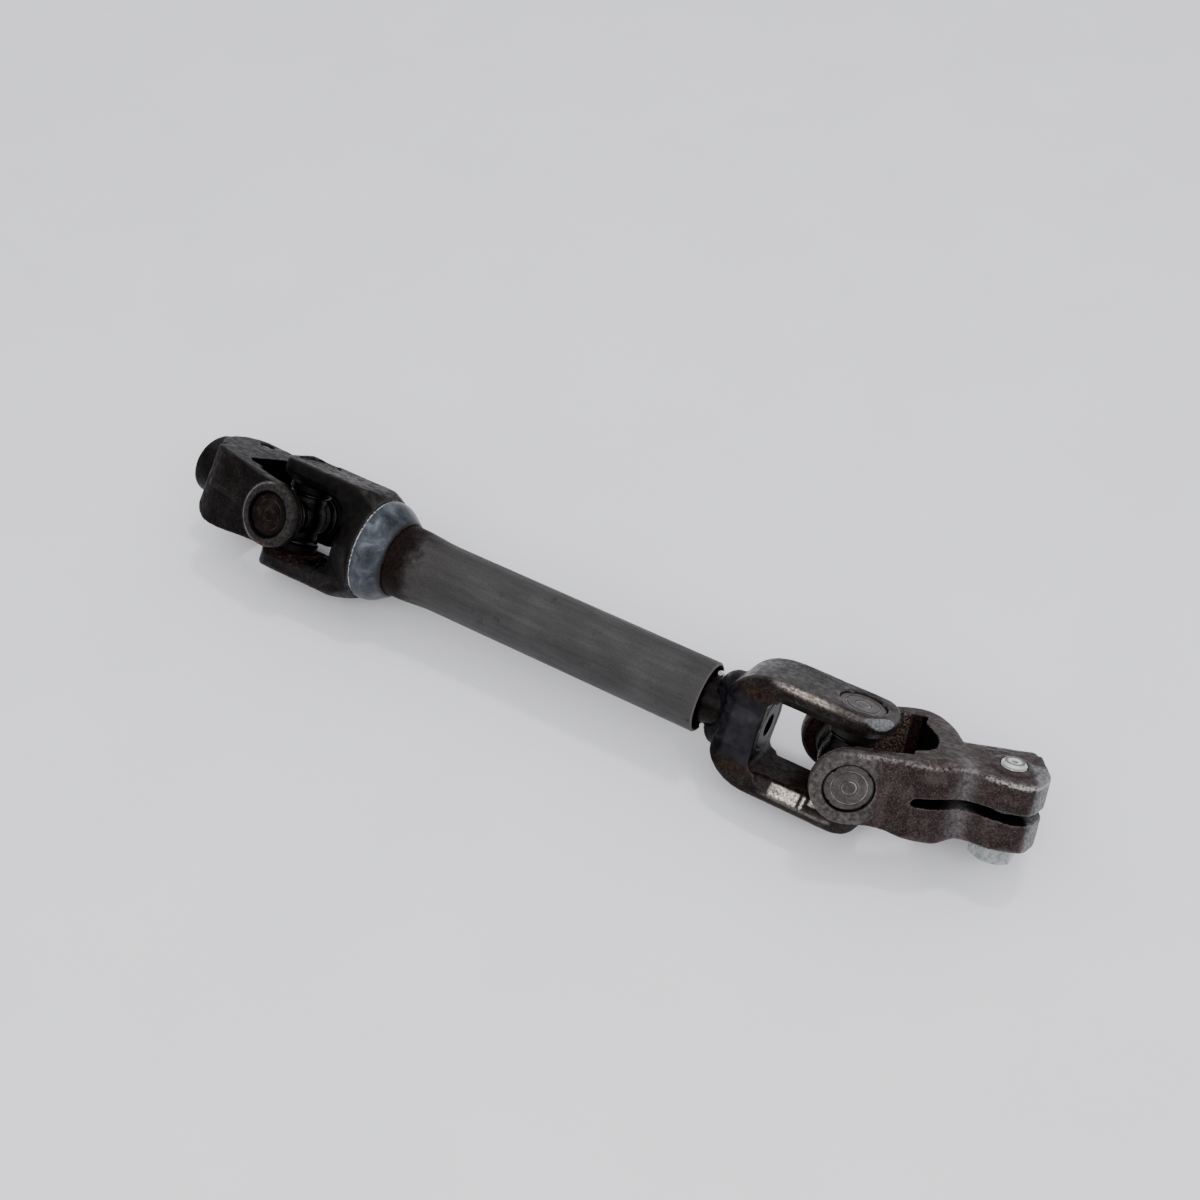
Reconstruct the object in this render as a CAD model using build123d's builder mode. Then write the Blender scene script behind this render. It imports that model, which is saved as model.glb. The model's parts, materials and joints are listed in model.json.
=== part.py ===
from build123d import *
import os
from math import sin, cos, tan, radians, degrees, pi

os.makedirs("parts", exist_ok=True)

# ---------------------------------------------------------------------------
# Telescoping steering shaft with a universal joint at each end.
# It is laid out in the shaft's own frame: origin on the shaft axis at the open
# mouth of the tube, +X along the shaft towards the pinion end, +Z up.
# At the end every piece is moved so that the origin is the middle of the
# bottom of the whole object's box. All sizes are millimetres.
# ---------------------------------------------------------------------------

# joint centres along the shaft, and how far each joint is rolled about it
X_COLUMN = -168.3
X_PINION = 48.8
ROLL_COLUMN = 41.0       # the outer cup axis lies this far above horizontal
ROLL_PINION = 31.5
BEND_COLUMN = -5.5        # bend about the shaft-side cup axis, as it lies
LIFT_COLUMN = 4.5        # bend about the cross's other axis
BEND_PINION = 21.9
LIFT_PINION = 7.3

# cross and bearings: the common 16 x 40 steering cross
CROSS_LEN = 40.0         # over the cups
CUP_R = 8.0
CUP_LEN = 10.0
CUP_BORE_R = 6.6
CUP_FLOOR = 1.5
LEG_R = 5.0
LEG_END = 18.2
NEEDLE_R = 0.75
NEEDLE_PITCH_R = 5.80
NEEDLE_COUNT = 20
NEEDLE_LEN = 7.2
SEAL_R = 7.5

# yokes
EAR_FACE = 20.8          # cup axis to outer ear face
EAR_INNER = 12.8         # cup axis to inner ear face
EAR_R = 12.4
COLUMN_EAR_R = 11.8
YOKE_W = 25.0

# tube and inner shaft
TUBE_R = 12.5
TUBE_SWELL_R = 13.5
MOUTH_R = 11.5
SHAFT_R = 8.5
TEETH = 18
TOOTH_ROOT = 7.9
TOOTH_TIP = 9.2
COAT = 0.35
SPLINE_GAP = 0.10

# clamp ends
CLAMP_R = 8.5
HUB_R = 11.3
SLOT = 3.0
BOLT_R = 4.0
BOLT_OFF = 12.4          # yoke axis to bolt axis

# ---- directions -----------------------------------------------------------


def cup_axes(roll):
    """outer cup axis (towards the viewer) and shaft-side cup axis, straight joint"""
    a = radians(roll)
    return Vector(0, -cos(a), sin(a)), Vector(0, sin(a), cos(a))


def bend(v, axis, deg):
    return v.rotate(Axis((0, 0, 0), tuple(axis)), deg)


n1P, n2P = cup_axes(ROLL_PINION)
n1C, n2C = cup_axes(ROLL_COLUMN)
out_P, out_C = Vector(1, 0, 0), Vector(-1, 0, 0)

# pinion side
crossP_x, crossP_1 = bend(out_P, n2P, BEND_PINION), bend(n1P, n2P, BEND_PINION)
yokeP_x = bend(crossP_x, crossP_1, LIFT_PINION)
yokeP_z = bend(n2P, crossP_1, LIFT_PINION)
# column side
crossC_x, crossC_1 = bend(out_C, n2C, BEND_COLUMN), bend(n1C, n2C, BEND_COLUMN)
yokeC_x = bend(crossC_x, crossC_1, -LIFT_COLUMN)
yokeC_z = bend(n2C, crossC_1, -LIFT_COLUMN)

C_PINION, C_COLUMN = (X_PINION, 0, 0), (X_COLUMN, 0, 0)
# local frames: x out of the joint, z the cup axis (or the clamp bolt's direction)
F_SHAFT_YOKE = Plane(origin=C_PINION, x_dir=tuple(out_P), z_dir=tuple(n2P))
F_TUBE_YOKE = Plane(origin=C_COLUMN, x_dir=tuple(out_C), z_dir=tuple(n2C))
F_CROSS_P = Plane(origin=C_PINION, x_dir=tuple(crossP_x), z_dir=tuple(n2P))
F_CROSS_C = Plane(origin=C_COLUMN, x_dir=tuple(crossC_x), z_dir=tuple(n2C))
F_PINION_YOKE = Plane(origin=C_PINION, x_dir=tuple(yokeP_x), z_dir=tuple(yokeP_z))
F_COLUMN_YOKE = Plane(origin=C_COLUMN, x_dir=tuple(yokeC_x), z_dir=tuple(yokeC_z))

pieces = []


def keep(solid, name, frame=None):
    if frame is not None:
        solid = frame.location * solid
    solid.label = name
    pieces.append(solid)



def serration(extra):
    """closed outline of the straight-sided teeth, grown outwards by extra"""
    pts = []
    for k in range(TEETH):
        c = 2 * pi * k / TEETH
        r0, r1 = TOOTH_ROOT + extra, TOOTH_TIP + extra
        h0, h1 = (0.75 + extra) / r0, (0.5 + extra) / r1
        for r, a in ((r0, c - h0), (r1, c - h1), (r1, c + h1), (r0, c + h0)):
            pts.append((r * cos(a), r * sin(a)))
    return pts


# ---------------------------------------------------------------------------
# Outer tube: swollen at the welded end, thin wall at the open mouth, and a
# serrated bore that the coated spline slides in
# ---------------------------------------------------------------------------
TUBE_LEFT = -141.0
SERR_LEFT, SERR_RIGHT = -108.0, -7.0
with BuildPart() as outer_tube:
    with BuildSketch(Plane.XZ):
        with BuildLine():
            Polyline((TUBE_LEFT, 0), (TUBE_LEFT, TUBE_SWELL_R), (-121.5, TUBE_SWELL_R))
            Spline((-121.5, TUBE_SWELL_R), (-113, 13.05), (-104.5, TUBE_R),
                   tangents=[(1, 0), (1, 0)])
            Polyline((-104.5, TUBE_R), (-0.5, TUBE_R), (0, TUBE_R - 0.5), (0, 0), (TUBE_LEFT, 0))
        make_face()
    revolve(axis=Axis.X)
    # plain bore behind the serrations
    with BuildSketch(Plane.YZ.offset(TUBE_LEFT)):
        Circle(10.9)
    extrude(amount=SERR_LEFT - TUBE_LEFT, mode=Mode.SUBTRACT)
    # counterbore at the mouth
    with BuildSketch(Plane.YZ.offset(SERR_RIGHT)):
        Circle(MOUTH_R)
    extrude(amount=-SERR_RIGHT, mode=Mode.SUBTRACT)
    # female serration
    with BuildSketch(Plane.YZ.offset(SERR_LEFT)):
        Polygon(*serration(COAT + SPLINE_GAP), align=None)
    extrude(amount=SERR_RIGHT - SERR_LEFT, mode=Mode.SUBTRACT)
keep(outer_tube.part, "outer_tube")

# ---------------------------------------------------------------------------
# Inner shaft: hollow, splined inside the tube, plain barrel at the mouth,
# pressed through the hub of the shaft yoke
# ---------------------------------------------------------------------------
BASE_P = -26.5                       # floor of the yoke's gap, from the joint centre
SHAFT_END = X_PINION + BASE_P
with BuildPart() as inner_shaft:
    with BuildSketch(Plane.YZ.offset(-100)):
        Polygon(*serration(0), align=None)
    extrude(amount=95)
    with BuildSketch(Plane.XZ):
        with BuildLine():
            Polyline((-5, 0), (-5, SHAFT_R), (SHAFT_END, SHAFT_R), (SHAFT_END, 0), (-5, 0))
        make_face()
    revolve(axis=Axis.X)
    with BuildSketch(Plane.YZ.offset(-101)):
        Circle(4.0)
    extrude(amount=101 + SHAFT_END + 1, mode=Mode.SUBTRACT)
    # turned lead-in at the inner end of the teeth
    with BuildSketch(Plane.XZ):
        with BuildLine():
            Polyline((-101, 8.4), (-101, 11), (-98.2, 11), (-101, 8.4))
        make_face()
    revolve(axis=Axis.X, mode=Mode.SUBTRACT)
keep(inner_shaft.part, "inner_shaft")

with BuildPart() as spline_coating:
    with BuildSketch(Plane.YZ.offset(-96)):
        Polygon(*serration(COAT), align=None)
        Polygon(*serration(0), align=None, mode=Mode.SUBTRACT)
    extrude(amount=89)
keep(spline_coating.part, "spline_coating")

# bright open wire ring between the mouth and the hub, lying askew, its gap towards
# the viewer and its lower end rounded into a bead
RING_R, WIRE_R = 9.40, 0.80
RING_TILT = radians(4.5)
RING_PLANE = Plane(origin=(1.75, 0, 0), x_dir=(-0.6 * sin(RING_TILT), 1.0, 0.0),
                   z_dir=(cos(RING_TILT), 0.6 * sin(RING_TILT), 0.8 * sin(RING_TILT)))
with BuildPart(RING_PLANE) as stop_ring:
    Torus(RING_R, WIRE_R, major_angle=208, align=None)
RING_START = 201.0                   # turns the gap round the shaft
turned_ring = stop_ring.part.rotate(Axis(tuple(RING_PLANE.origin), tuple(RING_PLANE.z_dir)), RING_START)
keep(turned_ring, "stop_ring")

# ---------------------------------------------------------------------------
# Shaft yoke: forged U with a short round hub. Local frame: x out of the joint,
# z along the cups
# ---------------------------------------------------------------------------
def yoke_gap(base):
    """space between a shaft-side yoke's arms, from its floor at x = base"""
    with BuildPart() as gap:
        # section of the gap: flat inner faces, relieved towards both sides
        with BuildSketch(Plane.YZ.offset(base)):
            Polygon((-9.6, EAR_INNER), (9.6, EAR_INNER), (12.9, 16.6), (14.5, 16.6),
                    (14.5, -16.6), (12.9, -16.6), (9.6, -EAR_INNER), (-9.6, -EAR_INNER),
                    (-12.9, -16.6), (-14.5, -16.6), (-14.5, 16.6), (-12.9, 16.6), align=None)
        extrude(amount=60)
        # rounded corners between the gap's floor and the arms
        with BuildSketch(Plane.XZ):
            with BuildLine():
                Polyline((base, 0), (base, 9.0))
                Spline((base, 9.0), (base + 0.9, 11.6), (base + 3.2, 12.7), tangents=[(0, 1), (1, 0.15)])
                Polyline((base + 3.2, 12.7), (base + 5.0, 16.7), (34, 16.7), (34, 0), (base, 0))
            make_face()
            mirror(about=Plane.XZ)
        extrude(amount=20, both=True, mode=Mode.INTERSECT)
    return gap.part


with BuildPart() as ear_relief:
    # the same relief turned round each ear's outer end
    with BuildSketch(Plane.XZ):
        with BuildLine():
            Polyline((9.6, 12.7), (9.6, EAR_INNER), (12.9, 16.6), (20, 16.6), (20, 12.7), (9.6, 12.7))
        make_face()
    revolve(axis=Axis.Z)
    mirror(about=Plane.XY)
    # only the outboard half
    with Locations((-15, 0, 0)):
        Box(30, 60, 60, mode=Mode.SUBTRACT)

with BuildPart() as shaft_yoke:
    with BuildSketch(Plane.XZ) as side:
        with BuildLine():
            Polyline((-40.9, 0), (-40.9, 9.0))
            Spline((-40.9, 9.0), (-39.6, 13.0), (-36.3, 16.9), (-31.2, 19.5), (-25, 20.6), (-17, EAR_FACE),
                   tangents=[(0.1, 1), (1, 0)])
            Polyline((-17, EAR_FACE), (8.6, EAR_FACE))
            CenterArc((8.6, EAR_FACE - 3.8), 3.8, 90, -90)
            Polyline((12.4, EAR_FACE - 3.8), (12.4, 0), (-40.9, 0))
        make_face()
    extrude(amount=YOKE_W / 2 + 0.2, both=True)
    mirror(about=Plane.XY)
    # plan shape: straight arms, round ears
    with BuildSketch(Plane.XY.offset(-30)):
        with BuildLine():
            Polyline((-46, 0), (-46, -11.2), (-36, -11.2))
            Spline((-36, -11.2), (-26, -11.9), (-14, -YOKE_W / 2), tangents=[(1, 0), (1, 0)])
            Polyline((-14, -YOKE_W / 2), (0, -YOKE_W / 2))
            CenterArc((0, 0), YOKE_W / 2, -90, 180)
            Polyline((0, YOKE_W / 2), (-14, YOKE_W / 2))
            Spline((-14, YOKE_W / 2), (-26, 11.9), (-36, 11.2), tangents=[(-1, 0), (-1, 0)])
            Polyline((-36, 11.2), (-46, 11.2), (-46, 0))
        make_face()
    extrude(amount=60, mode=Mode.INTERSECT)
    # rounded long edges
    with BuildSketch(Plane.YZ.offset(-46)):
        RectangleRounded(YOKE_W, 2 * EAR_FACE, 2.6)
    extrude(amount=60, mode=Mode.INTERSECT)
    # round hub
    with BuildSketch(Plane.XZ):
        with BuildLine():
            Polyline((-45.5, 0), (-45.5, 9.6))
            Spline((-45.5, 9.6), (-44.6, 11.4), (-43.2, 12.6), (-41.2, 13.2), tangents=[(0.2, 1), (1, 0)])
            Polyline((-41.2, 13.2), (-27.5, 13.2), (BASE_P, 12.2), (BASE_P, 0), (-45.5, 0))
        make_face()
    revolve(axis=Axis.X)
    # the hub's front is cut back at both sides, so that it reaches forward only under the arms
    for side_sign in (1, -1):
        with BuildSketch(Plane.XY.offset(-20)):
            with BuildLine():
                Polyline((-47, side_sign * 15), (-47, side_sign * 5.2), (-44.8, side_sign * 6.2))
                Spline((-44.8, side_sign * 6.2), (-41.6, side_sign * 8.6), (-39.9, side_sign * 11.2),
                       (-38.8, side_sign * 15), tangents=[(1, side_sign * 0.5), (0.15, side_sign)])
                Polyline((-38.8, side_sign * 15), (-47, side_sign * 15))
            make_face()
        extrude(amount=40, mode=Mode.SUBTRACT)
    # small facet ground on the upper ear's near corner
    with BuildSketch(Plane(origin=(8.47, -8.02, 19.32), x_dir=(0, 1, 1), z_dir=(0.61, -0.56, 0.56))):
        Rectangle(30, 30)
    extrude(amount=8, mode=Mode.SUBTRACT)
    add(yoke_gap(BASE_P), mode=Mode.SUBTRACT)
    add(ear_relief.part, mode=Mode.SUBTRACT)
    # bore for the shaft
    with BuildSketch(Plane.YZ.offset(-46)):
        Circle(SHAFT_R)
    extrude(amount=46 + BASE_P + 1, mode=Mode.SUBTRACT)
    # cup bores
    with BuildSketch(Plane.XY.offset(-25)):
        Circle(CUP_R)
    extrude(amount=50, mode=Mode.SUBTRACT)
    # staked metal over the cups
    for sgn in (1, -1):
        with BuildSketch(Plane.XY.offset(CROSS_LEN / 2 if sgn > 0 else -CROSS_LEN / 2 - 0.5)):
            with PolarLocations(8.0, 4, start_angle=45):
                Circle(0.9)
        extrude(amount=0.5)
keep(shaft_yoke.part, "shaft_yoke", F_SHAFT_YOKE)

# ---------------------------------------------------------------------------
# Tube yoke: the same U on a flared bell that is welded to the tube
# ---------------------------------------------------------------------------
BASE_C = -21.8
BELL_END = -34.0
TUBE_EAR_END = 10.5               # the ears stop short of the round ones on the other yokes
with BuildPart() as tube_yoke:
    with BuildSketch(Plane.XZ):
        with BuildLine():
            Polyline((BELL_END, 0), (BELL_END, 18.8))
            Spline((BELL_END, 18.8), (-31.8, 20.0), (-28, 20.7), (-23, EAR_FACE), tangents=[(1, 0.8), (1, 0)])
            Polyline((-23, EAR_FACE), (7.6, EAR_FACE))
            CenterArc((7.6, EAR_FACE - 2.9), 2.9, 90, -90)
            Polyline((TUBE_EAR_END, EAR_FACE - 2.9), (TUBE_EAR_END, 0), (BELL_END, 0))
        make_face()
    extrude(amount=YOKE_W / 2, both=True)
    mirror(about=Plane.XY)
    with BuildSketch(Plane.XY.offset(-30)):
        with BuildLine():
            Polyline((-40, 0), (-40, -YOKE_W / 2), (0.5, -YOKE_W / 2))
            Spline((0.5, -YOKE_W / 2), (7.4, -9.3), (TUBE_EAR_END + 0.15, 0), tangents=[(1, 0), (0, 1)])
            Spline((TUBE_EAR_END + 0.15, 0), (7.4, 9.3), (0.5, YOKE_W / 2), tangents=[(0, 1), (-1, 0)])
            Polyline((0.5, YOKE_W / 2), (-40, YOKE_W / 2), (-40, 0))
        make_face()
    extrude(amount=60, mode=Mode.INTERSECT)
    with BuildSketch(Plane.YZ.offset(-46)):
        RectangleRounded(YOKE_W, 2 * EAR_FACE, 2.0)
    extrude(amount=60, mode=Mode.INTERSECT)
    # the upper arm's far edge is bevelled
    with BuildSketch(Plane(origin=(0, -21.7 * sin(radians(27)), 21.7 * cos(radians(27))), x_dir=(1, 0, 0),
                           z_dir=(0, -sin(radians(27)), cos(radians(27))))):
        Rectangle(120, 60)
    extrude(amount=10, mode=Mode.SUBTRACT)
    # the arms' corners are turned down to the round bell
    with BuildSketch(Plane.XZ):
        with BuildLine():
            Polyline((BELL_END, 0), (BELL_END, 19.6))
            Spline((BELL_END, 19.6), (-30.5, 21.3), (-27.0, 22.9), (-22.5, 24.3), tangents=[(1, 0.4), (1, 0.2)])
            Polyline((-22.5, 24.3), (-18, 25.5), (14, 25.5), (14, 0), (BELL_END, 0))
        make_face()
    revolve(axis=Axis.X, mode=Mode.INTERSECT)
    with BuildSketch(Plane.XZ):
        with BuildLine():
            Polyline((BELL_END, 0), (BELL_END, 19.1), (-32.9, 19.5))
            Spline((-32.9, 19.5), (-28.3, 17.2), (-23.8, 14.0), (-20.8, 11.6), tangents=[(1, -0.35), (1, -0.7)])
            Polyline((-20.8, 11.6), (-20.8, 0), (BELL_END, 0))
        make_face()
    revolve(axis=Axis.X)
    add(yoke_gap(BASE_C), mode=Mode.SUBTRACT)
    add(ear_relief.part, mode=Mode.SUBTRACT)
    # socket for the tube end and a vent through the floor
    with BuildSketch(Plane.YZ.offset(BELL_END)):
        Circle(TUBE_SWELL_R)
    extrude(amount=X_COLUMN - TUBE_LEFT - BELL_END, mode=Mode.SUBTRACT)
    with BuildSketch(Plane.YZ.offset(BELL_END)):
        Circle(4.0)
    extrude(amount=20, mode=Mode.SUBTRACT)
    with BuildSketch(Plane.XY.offset(-25)):
        Circle(CUP_R)
    extrude(amount=50, mode=Mode.SUBTRACT)
    for sgn in (1, -1):
        with BuildSketch(Plane.XY.offset(CROSS_LEN / 2 if sgn > 0 else -CROSS_LEN / 2 - 0.5)):
            with PolarLocations(8.0, 4, start_angle=45):
                Circle(0.9)
        extrude(amount=0.5)
keep(tube_yoke.part, "tube_yoke", F_TUBE_YOKE)

# fillet weld between the bell and the tube
with BuildPart() as tube_weld:
    with BuildSketch(Plane.XZ):
        with BuildLine():
            x0 = X_COLUMN - BELL_END
            Polyline((x0, TUBE_SWELL_R), (x0, 18.8))
            Spline((x0, 18.8), (x0 + 4.2, 18.3), (x0 + 8.0, 15.9), (x0 + 11.0, TUBE_SWELL_R),
                   tangents=[(1, 0.1), (0.7, -1)])
            Polyline((x0 + 11.0, TUBE_SWELL_R), (x0, TUBE_SWELL_R))
        make_face()
    revolve(axis=Axis.X)
keep(tube_weld.part, "tube_weld")

# ---------------------------------------------------------------------------
# Crosses with their seals
# ---------------------------------------------------------------------------
for name, frame in (("pinion_cross", F_CROSS_P), ("column_cross", F_CROSS_C)):
    with BuildPart() as cross:
        with BuildSketch(Plane.XZ):
            with BuildLine():
                Polyline((0, 0), (0, LEG_END), (LEG_R - 0.7, LEG_END), (LEG_R, LEG_END - 0.7), (LEG_R, 8.2),
                         (6.4, 8.2), (6.9, 6.6), (6.9, 0), (0, 0))
            make_face()
        revolve(axis=Axis.Z)
        mirror(about=Plane.XY)
        with BuildSketch(Plane.XY):
            with BuildLine():
                Polyline((0, 0), (0, LEG_END), (LEG_R - 0.7, LEG_END), (LEG_R, LEG_END - 0.7), (LEG_R, 8.2),
                         (6.4, 8.2), (6.9, 6.6), (6.9, 0), (0, 0))
            make_face()
        revolve(axis=Axis.Y)
        with BuildSketch(Plane.XY):
            with BuildLine():
                Polyline((0, 0), (0, -LEG_END), (LEG_R - 0.7, -LEG_END), (LEG_R, -LEG_END + 0.7), (LEG_R, -8.2),
                         (6.4, -8.2), (6.9, -6.6), (6.9, 0), (0, 0))
            make_face()
        revolve(axis=Axis.Y)
        Sphere(8.3)
        # centre holes in the leg ends
        for d in ((0, 0, 1), (0, 0, -1), (0, 1, 0), (0, -1, 0)):
            with BuildSketch(Plane(origin=(d[0] * LEG_END, d[1] * LEG_END, d[2] * LEG_END), z_dir=d)):
                Circle(1.6)
            extrude(amount=-4.0, mode=Mode.SUBTRACT)
    keep(cross.part, name, frame)

    with BuildPart() as seals:
        with BuildSketch(Plane.XZ):
            with BuildLine():
                Polyline((LEG_R, 8.2), (SEAL_R - 0.6, 8.2), (SEAL_R, 8.8), (SEAL_R, 9.2), (SEAL_R - 0.5, 9.7),
                         (LEG_R, 9.7), (LEG_R, 8.2))
            make_face()
        revolve(axis=Axis.Z)
        mirror(about=Plane.XY)
        with BuildSketch(Plane.XY):
            with BuildLine():
                Polyline((LEG_R, 8.2), (SEAL_R - 0.6, 8.2), (SEAL_R, 8.8), (SEAL_R, 9.2), (SEAL_R - 0.5, 9.7),
                         (LEG_R, 9.7), (LEG_R, 8.2))
            make_face()
        revolve(axis=Axis.Y)
        with BuildSketch(Plane.XY):
            with BuildLine():
                Polyline((LEG_R, -8.2), (SEAL_R - 0.6, -8.2), (SEAL_R, -8.8), (SEAL_R, -9.2),
                         (SEAL_R - 0.5, -9.7), (LEG_R, -9.7), (LEG_R, -8.2))
            make_face()
        revolve(axis=Axis.Y)
    keep(seals.part, name + "_seals", frame)

# ---------------------------------------------------------------------------
# Bearing cups and needle rollers, two to a yoke
# ---------------------------------------------------------------------------
for name, frame, along in (("shaft_yoke", F_SHAFT_YOKE, "z"), ("tube_yoke", F_TUBE_YOKE, "z"),
                           ("pinion_yoke", F_PINION_YOKE, "y"), ("column_yoke", F_COLUMN_YOKE, "y")):
    near = -1 if name != "column_yoke" else 1
    ends = ((1, "upper"), (-1, "lower")) if along == "z" else ((near, "near"), (-near, "far"))
    rollers = []
    for sgn, word in ends:
        z_dir = (0, 0, sgn) if along == "z" else (0, sgn, 0)
        seat = Plane(origin=(0, 0, 0), x_dir=(1, 0, 0), z_dir=z_dir)
        face = CROSS_LEN / 2
        with BuildPart() as cup:
            with BuildSketch(seat.offset(face - CUP_LEN)):
                Circle(CUP_R)
            extrude(amount=CUP_LEN)
            chamfer(cup.faces().sort_by(Axis((0, 0, 0), z_dir))[-1].edges(), 0.4)
            with BuildSketch(seat.offset(face - CUP_LEN)):
                Circle(CUP_BORE_R)
            extrude(amount=CUP_LEN - CUP_FLOOR, mode=Mode.SUBTRACT)
            # two shallow turned rings on the cup's face
            for r in (2.6, 5.6):
                with BuildSketch(seat.offset(face - 0.18)):
                    Circle(r + 0.28)
                    Circle(r - 0.28, mode=Mode.SUBTRACT)
                extrude(amount=0.3, mode=Mode.SUBTRACT)
        keep(cup.part, name + "_cup_" + word, frame)
        with BuildPart() as row:
            with BuildSketch(seat.offset(face - CUP_FLOOR - 0.15 - NEEDLE_LEN)):
                with PolarLocations(NEEDLE_PITCH_R, NEEDLE_COUNT):
                    Circle(NEEDLE_R)
            extrude(amount=NEEDLE_LEN)
        rollers += list(row.part.solids())
    keep(Compound(children=rollers), name + "_needles", frame)

# ---------------------------------------------------------------------------
# Pinion yoke: forged fork, round clamp hub with a slot through the near arm,
# and two lugs drawn together by the pinch bolt. Local frame: x out of the
# joint, z along the bolt, near side towards -y
# ---------------------------------------------------------------------------
PIN_LEN = 61.0
LUG_Z = 12.2


def arm_relief(run, rim):
    """bevel along the arms' inner edges: round the ear's free end, then straight for run mm"""
    with BuildPart() as relief:
        with BuildSketch(Plane.XY):
            Polygon((rim, 12.6), (rim, EAR_INNER), (rim + 3.3, 16.6), (20, 16.6), (20, 12.6), align=None)
        revolve(axis=Axis.Y)
        with BuildSketch(Plane.XY.offset(-30)):
            Polygon((0, 10), (30, 10), (30, 20), (0, 20), align=None)
        extrude(amount=60, mode=Mode.SUBTRACT)
        with BuildSketch(Plane.YZ):
            Polygon((12.6, rim), (EAR_INNER, rim), (17.1, rim + 5.2), (17.1, 18), (12.6, 18), align=None)
            Polygon((12.6, -rim), (EAR_INNER, -rim), (17.1, -rim - 5.2), (17.1, -18), (12.6, -18), align=None)
        extrude(amount=run)
        mirror(about=Plane.XZ)
    return relief.part


PIN_BOLT = (49.5, -BOLT_OFF)
with BuildPart() as pinion_throat:
    with BuildSketch(Plane.XY.offset(-40)):
        with BuildLine():
            Polyline((-40, 13.6), (-40, -13.6), (-8, -13.6), (-4, -EAR_INNER), (21, -EAR_INNER))
            Spline((21, -EAR_INNER), (25.7, -9.4), (26.6, 0), (25.0, 9.2), (20, EAR_INNER),
                   tangents=[(1, 0), (-1, 0)])
            Polyline((20, EAR_INNER), (-4, EAR_INNER), (-8, 13.6), (-40, 13.6))
        make_face()
    extrude(amount=80)

with BuildPart() as pinion_lug:
    with BuildSketch(Plane.XY.offset(-LUG_Z)):
        with BuildLine():
            Polyline((34, -1.2), (34, -18.9))
            Spline((34, -18.9), (38.5, -19.6), (44, -21.9), (50, -23.8), (55.6, -22.5), (59.4, -17.8),
                   (PIN_LEN, -11.0), tangents=[(1, 0), (0, 1)])
            Polyline((PIN_LEN, -11.0), (PIN_LEN, -1.2), (34, -1.2))
        make_face()
    extrude(amount=2 * LUG_Z)
    with BuildSketch(Plane.YZ.offset(30)):
        with Locations((-6.7, 0)):
            RectangleRounded(35.2, 2 * LUG_Z, 2.6)
    extrude(amount=40, mode=Mode.INTERSECT)

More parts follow.
